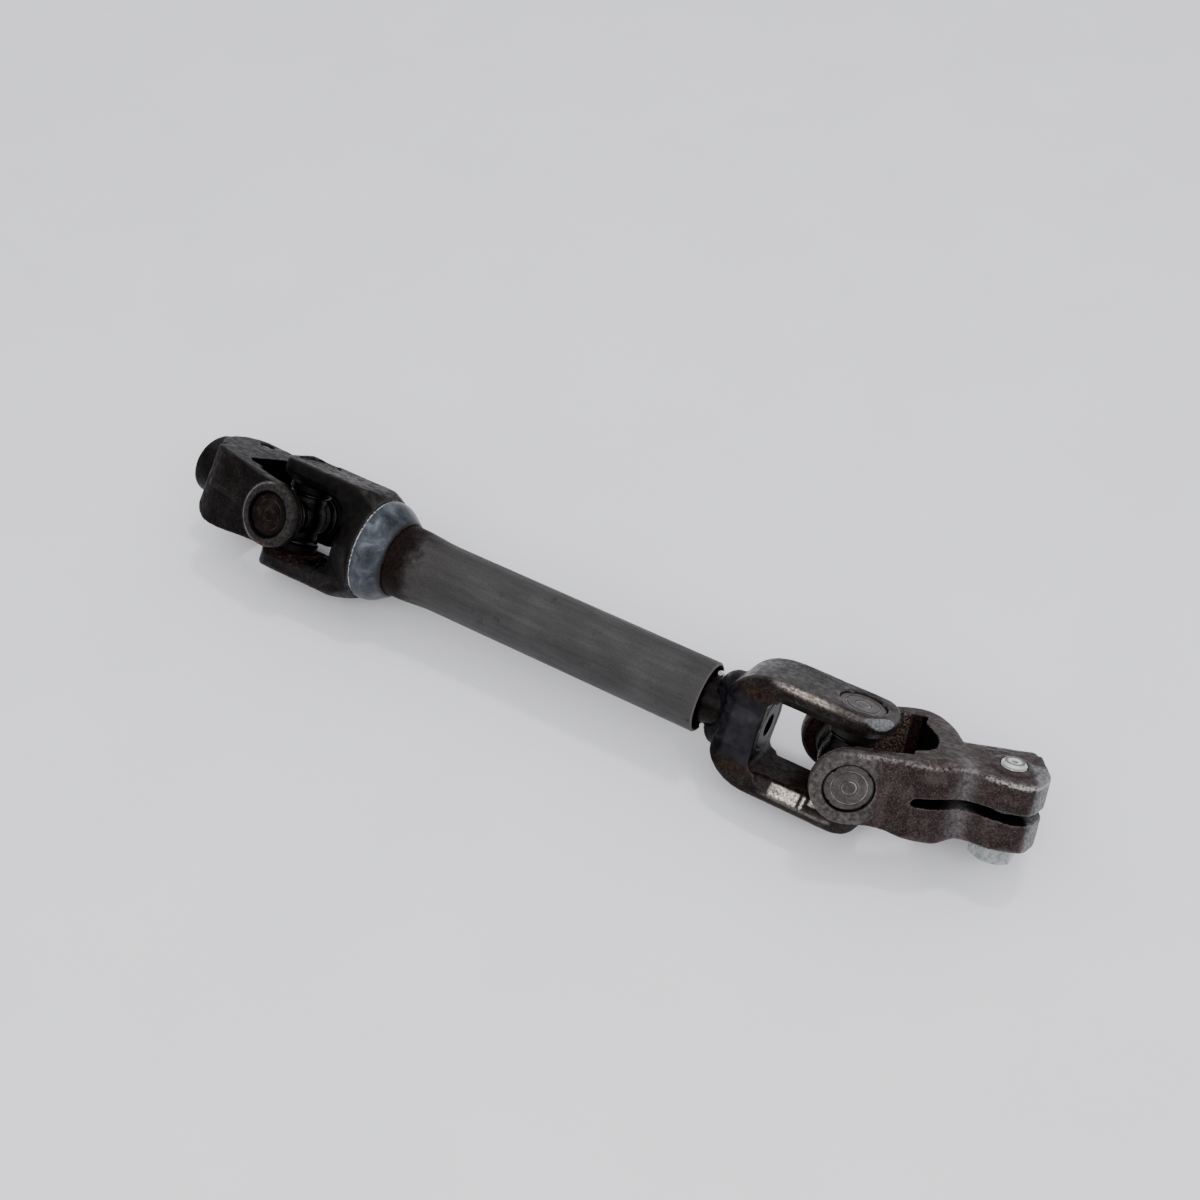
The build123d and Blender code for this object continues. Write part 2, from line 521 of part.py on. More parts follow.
with BuildPart() as pinion_yoke:
    # fork, plan shape
    with BuildSketch(Plane.XY.offset(-16)):
        with BuildLine():
            Polyline((-13, 0), (-13, -20.2), (9, -20.2))
            Spline((9, -20.2), (17, -20.9), (24, -21.2), (30, -20.0), (35.5, -18.8), (41, -20.2),
                   tangents=[(1, 0), (1, -0.3)])
            Polyline((41, -20.2), (44, -21.0), (44, -1.5), (36.2, -1.5))
            Spline((36.2, -1.5), (35.6, 5.5), (33.9, 11.2), (30.8, 15.3), (26.5, 17.9), (20, 19.6), (11, 20.2),
                   tangents=[(0, 1), (-1, 0)])
            Polyline((11, 20.2), (-13, 20.2), (-13, 0))
        make_face()
    extrude(amount=32)
    # side shape
    with BuildSketch(Plane.XZ.offset(-30)):
        with BuildLine():
            CenterArc((0, 0), EAR_R, 90, 180)
            Spline((0, -EAR_R), (11, -12.4), (18, -13.8), (23.5, -15.1), (28, -15.0), (33, -13.5),
                   (39, -LUG_Z), tangents=[(1, 0), (1, 0)])
            Polyline((39, -LUG_Z), (46, -10.5), (46, 10.5), (39, LUG_Z))
            Spline((39, LUG_Z), (33, 13.1), (28, 13.8), (23.5, 13.7), (18, 12.9), (11, 12.3), (0, EAR_R),
                   tangents=[(-1, 0), (-1, 0)])
        make_face()
    extrude(amount=60, mode=Mode.INTERSECT)
    # round the long edges of the fork
    with BuildSketch(Plane.YZ.offset(-14)):
        with Locations((-0.4, -0.7)):
            RectangleRounded(42.0, 29.2, 3.2)
    extrude(amount=80, mode=Mode.INTERSECT)
    # hub
    with BuildSketch(Plane.XZ):
        with BuildLine():
            Polyline((27, 0), (27, HUB_R), (PIN_LEN - 0.9, HUB_R), (PIN_LEN, HUB_R - 0.9), (PIN_LEN, 0), (27, 0))
        make_face()
    revolve(axis=Axis.X)
    add(pinion_lug.part)
    # ear bosses, raised round the cups
    for sgn in (1, -1):
        with BuildSketch(Plane.XZ.offset(17 if sgn > 0 else -EAR_FACE)):
            Circle(EAR_R)
        extrude(amount=EAR_FACE - 17)
    # round pad that the bolt's threaded end comes through
    with BuildSketch(Plane.XY.offset(LUG_Z - 2)):
        with Locations(PIN_BOLT):
            Circle(7.0)
    extrude(amount=2.7)
    add(pinion_throat.part, mode=Mode.SUBTRACT)
    add(arm_relief(18.5, 9.6), mode=Mode.SUBTRACT)
    # cup bores
    with BuildSketch(Plane.XZ.offset(-25)):
        Circle(CUP_R)
    extrude(amount=50, mode=Mode.SUBTRACT)
    # clamp bore with narrow serration grooves
    with BuildSketch(Plane.YZ.offset(20)):
        Circle(CLAMP_R)
        with PolarLocations(CLAMP_R, 36, start_angle=5):
            Rectangle(0.8, 0.5)
    extrude(amount=44, mode=Mode.SUBTRACT)
    # clamp slot through the near side
    with BuildSketch(Plane.XZ):
        with BuildLine():
            Polyline((65, -SLOT / 2 - 0.25), (65, SLOT / 2 - 0.25), (40, SLOT / 2 - 0.25), (31, SLOT / 2 - 0.5),
                     (22, SLOT / 2 - 1.0), (20.0, 0.1), (18.9, -1.6), (21, -SLOT / 2 - 0.9), (31, -SLOT / 2 - 0.5),
                     (40, -SLOT / 2 - 0.25), (65, -SLOT / 2 - 0.25))
        make_face()
    extrude(amount=30, mode=Mode.SUBTRACT)
    # bolt holes: thread above, clearance below
    with BuildSketch(Plane.XY):
        with Locations(PIN_BOLT):
            Circle(BOLT_R)
    extrude(amount=20, mode=Mode.SUBTRACT)
    with BuildSketch(Plane.XY):
        with Locations(PIN_BOLT):
            Circle(BOLT_R + 0.3)
    extrude(amount=-20, mode=Mode.SUBTRACT)
    # staked metal over the cups
    for sgn in (1, -1):
        with BuildSketch(Plane.XZ.offset(CROSS_LEN / 2 if sgn > 0 else -CROSS_LEN / 2 - 0.5)):
            with PolarLocations(8.0, 4, start_angle=45):
                Circle(0.9)
        extrude(amount=0.5)
keep(pinion_yoke.part, "pinion_yoke", F_PINION_YOKE)

# ---------------------------------------------------------------------------
# Column yoke: the same fork, shorter, with a round barrel hub. Its slot and
# lugs are on the far side, local -y. The near face carries the parting rib
# ---------------------------------------------------------------------------
COL_LUG_Z = 12.4
COL_SEAT_Z = 9.6
COL_BOLT = (37.3, -BOLT_OFF)
with BuildPart() as column_throat:
    with BuildSketch(Plane.XY.offset(-40)):
        with BuildLine():
            Polyline((-40, 13.6), (-40, -13.6), (-8, -13.6), (-4, -EAR_INNER), (14.0, -EAR_INNER))
            Spline((14.0, -EAR_INNER), (20.2, -10.0), (22.6, -3.5), tangents=[(1, 0), (0, 1)])
            Polyline((22.6, -3.5), (22.6, 10.4))
            Spline((22.6, 10.4), (21.8, 12.0), (20.0, EAR_INNER), tangents=[(0, 1), (-1, 0)])
            Polyline((20.0, EAR_INNER), (-4, EAR_INNER), (-8, 13.6), (-40, 13.6))
        make_face()
    extrude(amount=80)

# flat-topped block that carries the bolt, running across the hub to the near arm
with BuildPart() as column_lug:
    with BuildSketch(Plane.XY.offset(-COL_LUG_Z)):
        with BuildLine():
            Polyline((22, 12), (22, -19.4), (30, -19.2))
            Spline((30, -19.2), (36, -18.8), (41.2, -17.4), (45.0, -12.6), (46.0, -6.0), (44.6, 0.4), (40.6, 8.4),
                   (37.2, 12.0), tangents=[(1, 0), (-0.75, 1)])
            Polyline((37.2, 12.0), (22, 12))
        make_face()
    extrude(amount=2 * COL_LUG_Z)
    with BuildSketch(Plane.YZ.offset(20)):
        with Locations((-4, 0)):
            RectangleRounded(36, 2 * COL_LUG_Z, 2.2)
    extrude(amount=40, mode=Mode.INTERSECT)
    # below the hub the block is cut back to the lug itself
    with BuildSketch(Plane.XY.offset(-COL_LUG_Z - 1)):
        Polygon((36.4, 14), (36.4, -3.5), (48, -3.5), (48, 14), align=None)
    extrude(amount=COL_LUG_Z + 5, mode=Mode.SUBTRACT)

with BuildPart() as column_yoke:
    with BuildSketch(Plane.XY.offset(-18)):
        with BuildLine():
            Polyline((-13, 0), (-13, 20.0), (10, 20.0))
            Spline((10, 20.0), (20, 19.3), (31.5, 17.9), (35.0, 16.4), tangents=[(1, 0), (1, -0.55)])
            Polyline((35.0, 16.4), (37.6, 11.0), (37.6, -11.0), (33.5, -18.6), (22, -19.6), (-13, -20.0), (-13, 0))
        make_face()
    extrude(amount=36)
    with BuildSketch(Plane.XZ.offset(-30)):
        with BuildLine():
            CenterArc((0, 0), COLUMN_EAR_R, 90, 180)
            Spline((0, -COLUMN_EAR_R), (10, -13.0), (17, -14.4), (24, -15.5), (29.5, -15.3), (33.6, -13.4),
                   (36.2, -9.6), tangents=[(1, 0), (0.5, 1)])
            Polyline((36.2, -9.6), (38.2, -6), (38.2, 8), (36.6, 11.6))
            Spline((36.6, 11.6), (34.4, 12.5), (30, 12.7), (20, 12.5), (10, 12.1), (0, COLUMN_EAR_R),
                   tangents=[(-1, 0.7), (-1, 0)])
        make_face()
    extrude(amount=60, mode=Mode.INTERSECT)
    with BuildSketch(Plane.YZ.offset(-14)):
        with Locations((0, -1.4)):
            RectangleRounded(40.6, 29.0, 3.0)
    extrude(amount=80, mode=Mode.INTERSECT)
    # barrel hub with a rounded end
    with BuildSketch(Plane.XZ):
        with BuildLine():
            Polyline((22, 0), (22, 11.7), (45.6, 11.7))
            Spline((45.6, 11.7), (46.9, 11.2), (47.4, 10.0), tangents=[(1, 0), (0, -1)])
            Polyline((47.4, 10.0), (47.4, 0), (22, 0))
        make_face()
    revolve(axis=Axis.X)
    add(column_lug.part)
    # raised ring round each cup, its corner turned off
    for side_plane, out in ((Plane.XZ.offset(17), 1), (Plane.XZ.offset(-17), -1)):
        with BuildSketch(side_plane):
            Circle(COLUMN_EAR_R)
        extrude(amount=out * (EAR_FACE - 17 - 0.6))
        with BuildSketch(side_plane):
            Circle(COLUMN_EAR_R - 0.8)
        extrude(amount=out * (EAR_FACE - 17))
    # parting rib along the near face
    with BuildSketch(Plane.XY.offset(-1.9)):
        with BuildLine():
            Polyline((13.0, 17.5), (13.0, 20.4))
            Spline((13.0, 20.4), (20, 19.9), (31.5, 18.5), tangents=[(1, -0.06), (1, -0.2)])
            Polyline((31.5, 18.5), (31.5, 16.0), (13.0, 17.5))
        make_face()
    extrude(amount=2.4)
    add(column_throat.part, mode=Mode.SUBTRACT)
    add(arm_relief(15.0, 9.3), mode=Mode.SUBTRACT)
    with BuildSketch(Plane.XZ.offset(-25)):
        Circle(CUP_R)
    extrude(amount=50, mode=Mode.SUBTRACT)
    with BuildSketch(Plane.YZ.offset(18)):
        Circle(CLAMP_R)
        with PolarLocations(CLAMP_R, 36, start_angle=5):
            Rectangle(0.8, 0.5)
    extrude(amount=34, mode=Mode.SUBTRACT)
    with BuildSketch(Plane.XZ):
        with BuildLine():
            Polyline((50, -SLOT / 2), (50, SLOT / 2), (21, SLOT / 2), (18.6, 0), (21, -SLOT / 2), (50, -SLOT / 2))
        make_face()
    extrude(amount=30, mode=Mode.SUBTRACT)
    # threaded hole, and a narrower one above it for the bolt's point
    with BuildSketch(Plane.XY):
        with Locations(COL_BOLT):
            Circle(BOLT_R)
    extrude(amount=9.8, mode=Mode.SUBTRACT)
    with BuildSketch(Plane.XY):
        with Locations(COL_BOLT):
            Circle(2.7)
    extrude(amount=20, mode=Mode.SUBTRACT)
    with BuildSketch(Plane.XY):
        with Locations(COL_BOLT):
            Circle(BOLT_R + 0.3)
    extrude(amount=-20, mode=Mode.SUBTRACT)
    # flat spot sunk into the lower lug for the washer and the bolt's head
    with BuildSketch(Plane.XY.offset(-COL_SEAT_Z)):
        with Locations(COL_BOLT):
            Circle(7.9)
    extrude(amount=-8, mode=Mode.SUBTRACT)
    for sgn in (1, -1):
        with BuildSketch(Plane.XZ.offset(CROSS_LEN / 2 if sgn > 0 else -CROSS_LEN / 2 - 0.5)):
            with PolarLocations(8.0, 4, start_angle=45):
                Circle(0.9)
        extrude(amount=0.5)
keep(column_yoke.part, "column_yoke", F_COLUMN_YOKE)

# ---------------------------------------------------------------------------
# M8 pinch bolts and their spring washers, along local z of each clamp yoke
# ---------------------------------------------------------------------------
HEAD_AF = 13.0
HEAD_H = 5.3
WASHER_T = 1.6
for name, frame, at, seat_z, tip in (("pinion", F_PINION_YOKE, PIN_BOLT, -LUG_Z, 14.2),
                                     ("column", F_COLUMN_YOKE, COL_BOLT, -COL_SEAT_Z, 9.5)):
    under = seat_z - WASHER_T
    with BuildPart() as bolt:
        with BuildSketch(Plane.XY.offset(under - HEAD_H)):
            with Locations(at):
                RegularPolygon(HEAD_AF / 2, 6, major_radius=False, rotation=3)
        extrude(amount=HEAD_H)
        # the head's corners are turned off on its free face
        with BuildSketch(Plane(origin=(at[0], at[1], 0), x_dir=(1, 0, 0), z_dir=(0, -1, 0))):
            with BuildLine():
                Polyline((0, under - HEAD_H), (6.2, under - HEAD_H), (7.7, under - HEAD_H + 0.9), (7.7, under),
                         (0, under), (0, under - HEAD_H))
            make_face()
        revolve(axis=Axis((at[0], at[1], 0), (0, 0, 1)), mode=Mode.INTERSECT)
        # shank, pointed, with the thread's crests showing at the end
        with BuildSketch(Plane(origin=(at[0], at[1], 0), x_dir=(1, 0, 0), z_dir=(0, -1, 0))):
            with BuildLine():
                Polyline((0, under), (BOLT_R, under), (BOLT_R, tip - 4.1), (BOLT_R - 0.45, tip - 3.7),
                         (BOLT_R, tip - 3.3), (BOLT_R, tip - 2.85), (BOLT_R - 0.45, tip - 2.45), (BOLT_R, tip - 2.05),
                         (BOLT_R, tip - 1.6), (BOLT_R - 0.45, tip - 1.2), (BOLT_R, tip - 0.9), (BOLT_R - 0.8, tip),
                         (1.6, tip), (0, tip - 0.7), (0, under))
            make_face()
        revolve(axis=Axis((at[0], at[1], 0), (0, 0, 1)))
        if name == "column":
            # dog point
            with BuildSketch(Plane.XY.offset(tip - 1)):
                with Locations(at):
                    Circle(2.3)
            extrude(amount=2.9)
    keep(bolt.part, name + "_pinch_bolt", frame)
    with BuildPart() as washer:
        with BuildSketch(Plane.XY.offset(under)):
            with Locations(at):
                Circle(6.9)
            with Locations(at):
                Circle(4.1, mode=Mode.SUBTRACT)
            with Locations((at[0] + 5.5, at[1])):
                Rectangle(4.0, 1.2, rotation=20, mode=Mode.SUBTRACT)
        extrude(amount=WASHER_T)
    keep(washer.part, name + "_bolt_washer", frame)

# ---------------------------------------------------------------------------
# Bring the origin to the middle of the bottom of the object's box, and write
# ---------------------------------------------------------------------------
boxes = [p.bounding_box() for p in pieces]
lo = [min(tuple(b.min)[i] for b in boxes) for i in range(3)]
hi = [max(tuple(b.max)[i] for b in boxes) for i in range(3)]
OFFSET = Vector(-(lo[0] + hi[0]) / 2, -(lo[1] + hi[1]) / 2, -lo[2])
for p in pieces:
    label = p.label
    whole = Compound(p.solids()).moved(Location(OFFSET)) if len(p.solids()) > 1 else p.solid().moved(Location(OFFSET))
    whole.label = label
    export_step(whole, "parts/%s.step" % label)
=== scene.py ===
import json
import math

import bmesh
import bpy
import numpy as np
from mathutils import Matrix, Vector


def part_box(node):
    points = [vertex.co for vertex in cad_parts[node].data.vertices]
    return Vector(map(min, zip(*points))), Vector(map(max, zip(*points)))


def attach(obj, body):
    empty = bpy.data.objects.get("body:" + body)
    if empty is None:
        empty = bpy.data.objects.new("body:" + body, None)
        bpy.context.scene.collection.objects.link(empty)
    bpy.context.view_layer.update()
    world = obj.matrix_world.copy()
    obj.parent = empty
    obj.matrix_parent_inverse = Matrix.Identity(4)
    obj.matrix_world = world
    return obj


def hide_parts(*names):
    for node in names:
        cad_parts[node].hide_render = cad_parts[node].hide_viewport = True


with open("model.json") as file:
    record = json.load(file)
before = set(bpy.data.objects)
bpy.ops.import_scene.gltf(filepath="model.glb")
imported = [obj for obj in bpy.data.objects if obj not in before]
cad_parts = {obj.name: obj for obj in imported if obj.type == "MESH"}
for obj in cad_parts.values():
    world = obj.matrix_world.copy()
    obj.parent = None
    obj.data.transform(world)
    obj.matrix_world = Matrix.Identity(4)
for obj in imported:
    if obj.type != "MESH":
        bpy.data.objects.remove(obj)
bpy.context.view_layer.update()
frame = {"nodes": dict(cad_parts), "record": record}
NODES = frame["nodes"]
SCENE = bpy.context.scene

# ---------------------------------------------------------------------------
# The shaft's own frame, in millimetres: origin on the axis at the tube's open
# mouth. OFF takes it to the row frame.
# ---------------------------------------------------------------------------
OFF = np.array([52.348432, -4.676195, 24.826737])


def turn(v, axis, deg):
    v, k = np.array(v, float), np.array(axis, float)
    k = k / np.linalg.norm(k)
    a = math.radians(deg)
    return v * math.cos(a) + np.cross(k, v) * math.sin(a) + k * (k @ v) * (1 - math.cos(a))


def cup_axes(roll):
    a = math.radians(roll)
    return np.array([0, -math.cos(a), math.sin(a)]), np.array([0, math.sin(a), math.cos(a)])


n1P, n2P = cup_axes(31.5)
n1C, n2C = cup_axes(41.0)
xP, p1 = turn((1, 0, 0), n2P, 21.9), turn(n1P, n2P, 21.9)
xC, c1 = turn((-1, 0, 0), n2C, -5.5), turn(n1C, n2C, -5.5)
C_P, C_C = OFF + np.array([48.8, 0, 0]), OFF + np.array([-168.3, 0, 0])


def local_frame(origin, x, z):
    """rows are the local x, y, z directions"""
    x, z = np.array(x, float), np.array(z, float)
    return np.array(origin), np.array([x, np.cross(z, x), z])


F_SHAFT_YOKE = local_frame(C_P, (1, 0, 0), n2P)
F_TUBE_YOKE = local_frame(C_C, (-1, 0, 0), n2C)
F_CROSS_P = local_frame(C_P, xP, n2P)
F_CROSS_C = local_frame(C_C, xC, n2C)
F_PINION = local_frame(C_P, turn(xP, p1, 7.3), turn(n2P, p1, 7.3))
F_COLUMN = local_frame(C_C, turn(xC, c1, -4.5), turn(n2C, c1, -4.5))
F_TUBE = local_frame(OFF, (1, 0, 0), (0, 0, 1))


def to_local(p, fr):
    return (p - fr[0]) @ fr[1].T


# ---------------------------------------------------------------------------
# Mesh helpers
# ---------------------------------------------------------------------------
def lattice(ix, iy, iz, seed):
    h = (ix * 374761393 + iy * 668265263 + iz * 1274126177 + seed * 362437) & 0xFFFFFFFF
    h = ((h ^ (h >> 13)) * 1103515245) & 0xFFFFFFFF
    h = (h ^ (h >> 16)) & 0xFFFF
    return h / 32767.5 - 1.0


def noise(p, size, seed=0):
    """smooth noise in -1..1 at points p (mm); size is the blob size in mm"""
    q = p / size
    i = np.floor(q).astype(np.int64)
    f = q - i
    w = f * f * (3 - 2 * f)
    out = 0
    for dx in (0, 1):
        for dy in (0, 1):
            for dz in (0, 1):
                c = lattice(i[:, 0] + dx, i[:, 1] + dy, i[:, 2] + dz, seed)
                out = out + c * (w[:, 0] if dx else 1 - w[:, 0]) * (w[:, 1] if dy else 1 - w[:, 1]) * (
                    w[:, 2] if dz else 1 - w[:, 2])
    return out


def cloud(p, size, seed=0, octaves=3):
    out, amp, tot = 0, 1.0, 0
    for k in range(octaves):
        out = out + amp * noise(p + 17.3 * k, size / 2 ** k, seed + k)
        tot += amp
        amp *= 0.5
    return out / tot


def step(x, lo, hi):
    t = np.clip((x - lo) / (hi - lo), 0, 1)
    return t * t * (3 - 2 * t)


def relax(v, edges, count, weight):
    deg = np.bincount(edges.ravel(), minlength=len(v)).astype(float)
    deg[deg == 0] = 1
    for _ in range(count):
        s = np.zeros_like(v)
        for k in range(3):
            s[:, k] = (np.bincount(edges[:, 0], v[edges[:, 1], k], len(v)) +
                       np.bincount(edges[:, 1], v[edges[:, 0], k], len(v)))
        v = v + (s / deg[:, None] - v) * weight[:, None]
    return v


def remeshed(source, voxel):
    """closed, evenly meshed copy of a CAD node's mesh"""
    me = source.data.copy()
    bm = bmesh.new()
    bm.from_mesh(me)
    bmesh.ops.remove_doubles(bm, verts=bm.verts, dist=2e-7)
    bm.to_mesh(me)
    bm.free()
    ob = bpy.data.objects.new("tmp", me)
    SCENE.collection.objects.link(ob)
    mod = ob.modifiers.new("remesh", "REMESH")
    mod.mode = "VOXEL"
    mod.voxel_size = voxel
    deps = bpy.context.evaluated_depsgraph_get()
    out = bpy.data.meshes.new_from_object(ob.evaluated_get(deps))
    bpy.data.objects.remove(ob)
    bpy.data.meshes.remove(me)
    return out


def arrays(me):
    v = np.empty(len(me.vertices) * 3)
    me.vertices.foreach_get("co", v)
    e = np.empty(len(me.edges) * 2, dtype=np.int32)
    me.edges.foreach_get("vertices", e)
    return v.reshape(-1, 3) * 1000.0, e.reshape(-1, 2)


def normals(me, v):
    me.vertices.foreach_set("co", (v / 1000.0).ravel())
    me.update()
    n = np.empty(len(v) * 3)
    me.vertex_normals.foreach_get("vector", n)
    return n.reshape(-1, 3)


def put(me, name, values):
    a = me.attributes.new(name, "FLOAT", "POINT")
    a.data.foreach_set("value", np.clip(np.asarray(values, dtype=np.float32), 0, 1))


def forged(node, body, slot, fr, voxel=0.34, rounds=9, keep_sharp=None, shape=None, masks=None, pits=0.05):
    """the CAD node as a forging: edges rounded, skin slightly uneven, machined places kept"""
    src = NODES[node]
    lo, hi = (np.array(c) * 1000.0 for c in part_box(node))
    me = remeshed(src, voxel / 1000.0)
    v, e = arrays(me)
    p = to_local(v, fr)
    sharp = np.zeros(len(v)) if keep_sharp is None else keep_sharp(p)
    soft = 1.0 - sharp
    v = relax(v, e, rounds, 0.12 + 0.48 * soft)
    v = relax(v, e, 2, np.full(len(v), 0.3))
    n = normals(me, v)
    p = to_local(v, fr)
    d = (0.16 * cloud(p, 9.0, 3, 2) + pits * cloud(p, 1.4, 11, 2)) * soft
    if shape is not None:
        d = d + shape(p, n @ fr[1].T)
    v = v + n * d[:, None]
    v = np.clip(v, lo + 0.01, hi - 0.01)
    n = normals(me, v)
    far = relax(v, e, 14, np.full(len(v), 0.6))
    curve = np.einsum("ij,ij->i", far - v, n)
    put(me, "wear", step(-curve, 0.03, 0.30))
    put(me, "cavity", step(curve, 0.03, 0.35))
    p = to_local(v, fr)
    put(me, "sharp", sharp)
    for name, values in (masks(p, n @ fr[1].T) if masks else {}).items():
        put(me, name, values)
    for poly in me.polygons:
        poly.use_smooth = True
    me.materials.clear()
    me.materials.append(MATS[slot])
    ob = bpy.data.objects.new(node + "_skin", me)
    SCENE.collection.objects.link(ob)
    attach(ob, body)
    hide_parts(node)
    return ob


# ---------------------------------------------------------------------------
# Material helpers
# ---------------------------------------------------------------------------
class Nodes:
    def __init__(self, name):
        self.mat = bpy.data.materials.new(name)
        self.mat.use_nodes = True
        self.t = self.mat.node_tree
        self.b = self.t.nodes["Principled BSDF"]
        tc = self.t.nodes.new("ShaderNodeTexCoord")
        self.co = tc.outputs["Object"]

    def new(self, kind, **props):
        n = self.t.nodes.new(kind)
        for k, val in props.items():
            setattr(n, k, val)
        return n

    def link(self, a, b):
        self.t.links.new(a, b)

    def mapped(self, scale=(1, 1, 1), turned=(0, 0, 0)):
        m = self.new("ShaderNodeMapping")
        m.inputs["Scale"].default_value = scale
        m.inputs["Rotation"].default_value = turned
        self.link(self.co, m.inputs["Vector"])
        return m.outputs["Vector"]

    def noise(self, mm, detail=3.0, rough=0.55, co=None, distortion=0.0):
        """noise whose blobs are about mm across"""
        n = self.new("ShaderNodeTexNoise")
        n.inputs["Scale"].default_value = 1000.0 / mm
        n.inputs["Detail"].default_value = detail
        n.inputs["Roughness"].default_value = rough
        n.inputs["Distortion"].default_value = distortion
        self.link(co if co is not None else self.co, n.inputs["Vector"])
        return n.outputs["Fac"]

    def ramp(self, fac, stops):
        r = self.new("ShaderNodeValToRGB")
        els = r.color_ramp.elements
        while len(els) < len(stops):
            els.new(0.5)
        for el, (pos, col) in zip(els, stops):
            el.position = pos
            el.color = (*col, 1) if isinstance(col, tuple) else (col, col, col, 1)
        self.link(fac, r.inputs["Fac"])
        return r.outputs["Color"]

    def mix(self, fac, a, b, mode="MIX"):
        m = self.new("ShaderNodeMix", data_type="RGBA", blend_type=mode)
        for sock, val in ((m.inputs[0], fac), (m.inputs[6], a), (m.inputs[7], b)):
            if isinstance(val, (int, float)):
                sock.default_value = val
            elif isinstance(val, tuple):
                sock.default_value = (*val, 1)
            else:
                self.link(val, sock)
        return m.outputs[2]

    def math(self, op, a, b=0.0, clamp=False):
        m = self.new("ShaderNodeMath", operation=op, use_clamp=clamp)
        for sock, val in ((m.inputs[0], a), (m.inputs[1], b)):
            if isinstance(val, (int, float)):
                sock.default_value = val
            else:
                self.link(val, sock)
        return m.outputs[0]

    def attr(self, name):
        a = self.new("ShaderNodeAttribute", attribute_name=name)
        return a.outputs["Fac"]

    def bump(self, height, strength, mm):
        b = self.new("ShaderNodeBump")
        b.inputs["Strength"].default_value = strength
        b.inputs["Distance"].default_value = mm / 1000.0
        self.link(height, b.inputs["Height"])
        return b.outputs["Normal"]

    def axis_distance(self, centre, axis):
        """distance in m from a line through centre, a point in mm"""
        a = self.new("ShaderNodeVectorMath", operation="SUBTRACT")
        self.link(self.co, a.inputs[0])
        a.inputs[1].default_value = tuple(float(v) / 1000.0 for v in centre)
        b = self.new("ShaderNodeVectorMath", operation="CROSS_PRODUCT")
        self.link(a.outputs[0], b.inputs[0])
        b.inputs[1].default_value = tuple(float(v) for v in axis)
        c = self.new("ShaderNodeVectorMath", operation="LENGTH")
        self.link(b.outputs[0], c.inputs[0])
        return c.outputs["Value"]

    def out(self, color, rough, metal, normal=None, shine=0.5):
        self.b.inputs["Specular IOR Level"].default_value = shine
        for sock, val in (("Base Color", color), ("Roughness", rough), ("Metallic", metal)):
            if isinstance(val, (int, float)):
                self.b.inputs[sock].default_value = val
            elif isinstance(val, tuple):
                self.b.inputs[sock].default_value = (*val, 1)
            else:
                self.link(val, self.b.inputs[sock])
        if normal is not None:
            self.link(normal, self.b.inputs["Normal"])
        return self.mat


def skin(name, tones, worn, grime_and_shade, rough=(0.34, 0.58), metal=0.55, wear=0.8, grain=0.5, extra=None, blob=6.0,
         speckle=0.5, shine=0.5):
    """mottled forging scale: tones is (dark, middle, light)"""
    k = Nodes(name)
    big = k.noise(blob, 5.0, 0.62, distortion=0.8)
    fine = k.noise(0.8, 4.0, 0.7)
    blend = k.math("ADD", k.math("MULTIPLY", big, 0.55), k.math("MULTIPLY", fine, 0.45))
    col = k.ramp(blend, [(0.40, tones[0]), (0.5, tones[1]), (0.60, tones[2])])
    # fine dark pores and pale grains
    pore = k.ramp(k.noise(0.55, 2.0, 0.7), [(0.36, 1.0), (0.47, 0.0)])
    col = k.mix(k.math("MULTIPLY", pore, speckle), col, grime_and_shade)
    pale = k.ramp(k.noise(0.42, 2.0, 0.6), [(0.56, 0.0), (0.68, 1.0)])
    col = k.mix(k.math("MULTIPLY", pale, speckle * 0.55), col, worn)
    # light along worn edges, broken up by noise
    chip = k.ramp(k.noise(1.3, 4.0, 0.7), [(0.36, 0.1), (0.58, 1.0)])
    w = k.math("MULTIPLY", k.math("MULTIPLY", k.attr("wear"), chip), wear, clamp=True)
    col = k.mix(w, col, worn)
    c = k.math("MULTIPLY", k.attr("cavity"), 0.9, clamp=True)
    col = k.mix(c, col, grime_and_shade)
    r = k.ramp(k.noise(2.2, 3.0, 0.6), [(0.38, rough[0]), (0.62, rough[1])])
    r = k.mix(w, r, (0.30, 0.30, 0.30))
    m = metal
    if extra:
        col, r, m = extra(k, col, r, metal)
    height = k.math("ADD", k.math("MULTIPLY", fine, 0.6), k.math("MULTIPLY", k.noise(0.35, 2.0, 0.6), 0.4))
    # places painted as shade hardly reflect, nor do the dull marks
    dull = k.math("MAXIMUM", k.attr("painted_black_shade"), k.math("MAXIMUM", k.attr("painted_shade_inside"), k.attr("dull")), clamp=True)
    k.link(k.math("SUBTRACT", shine, k.math("MULTIPLY", dull, shine * 0.8)), k.b.inputs["Specular IOR Level"])
    return k.out(col, r, m, k.bump(height, grain, 0.25), shine)


MATS = {}


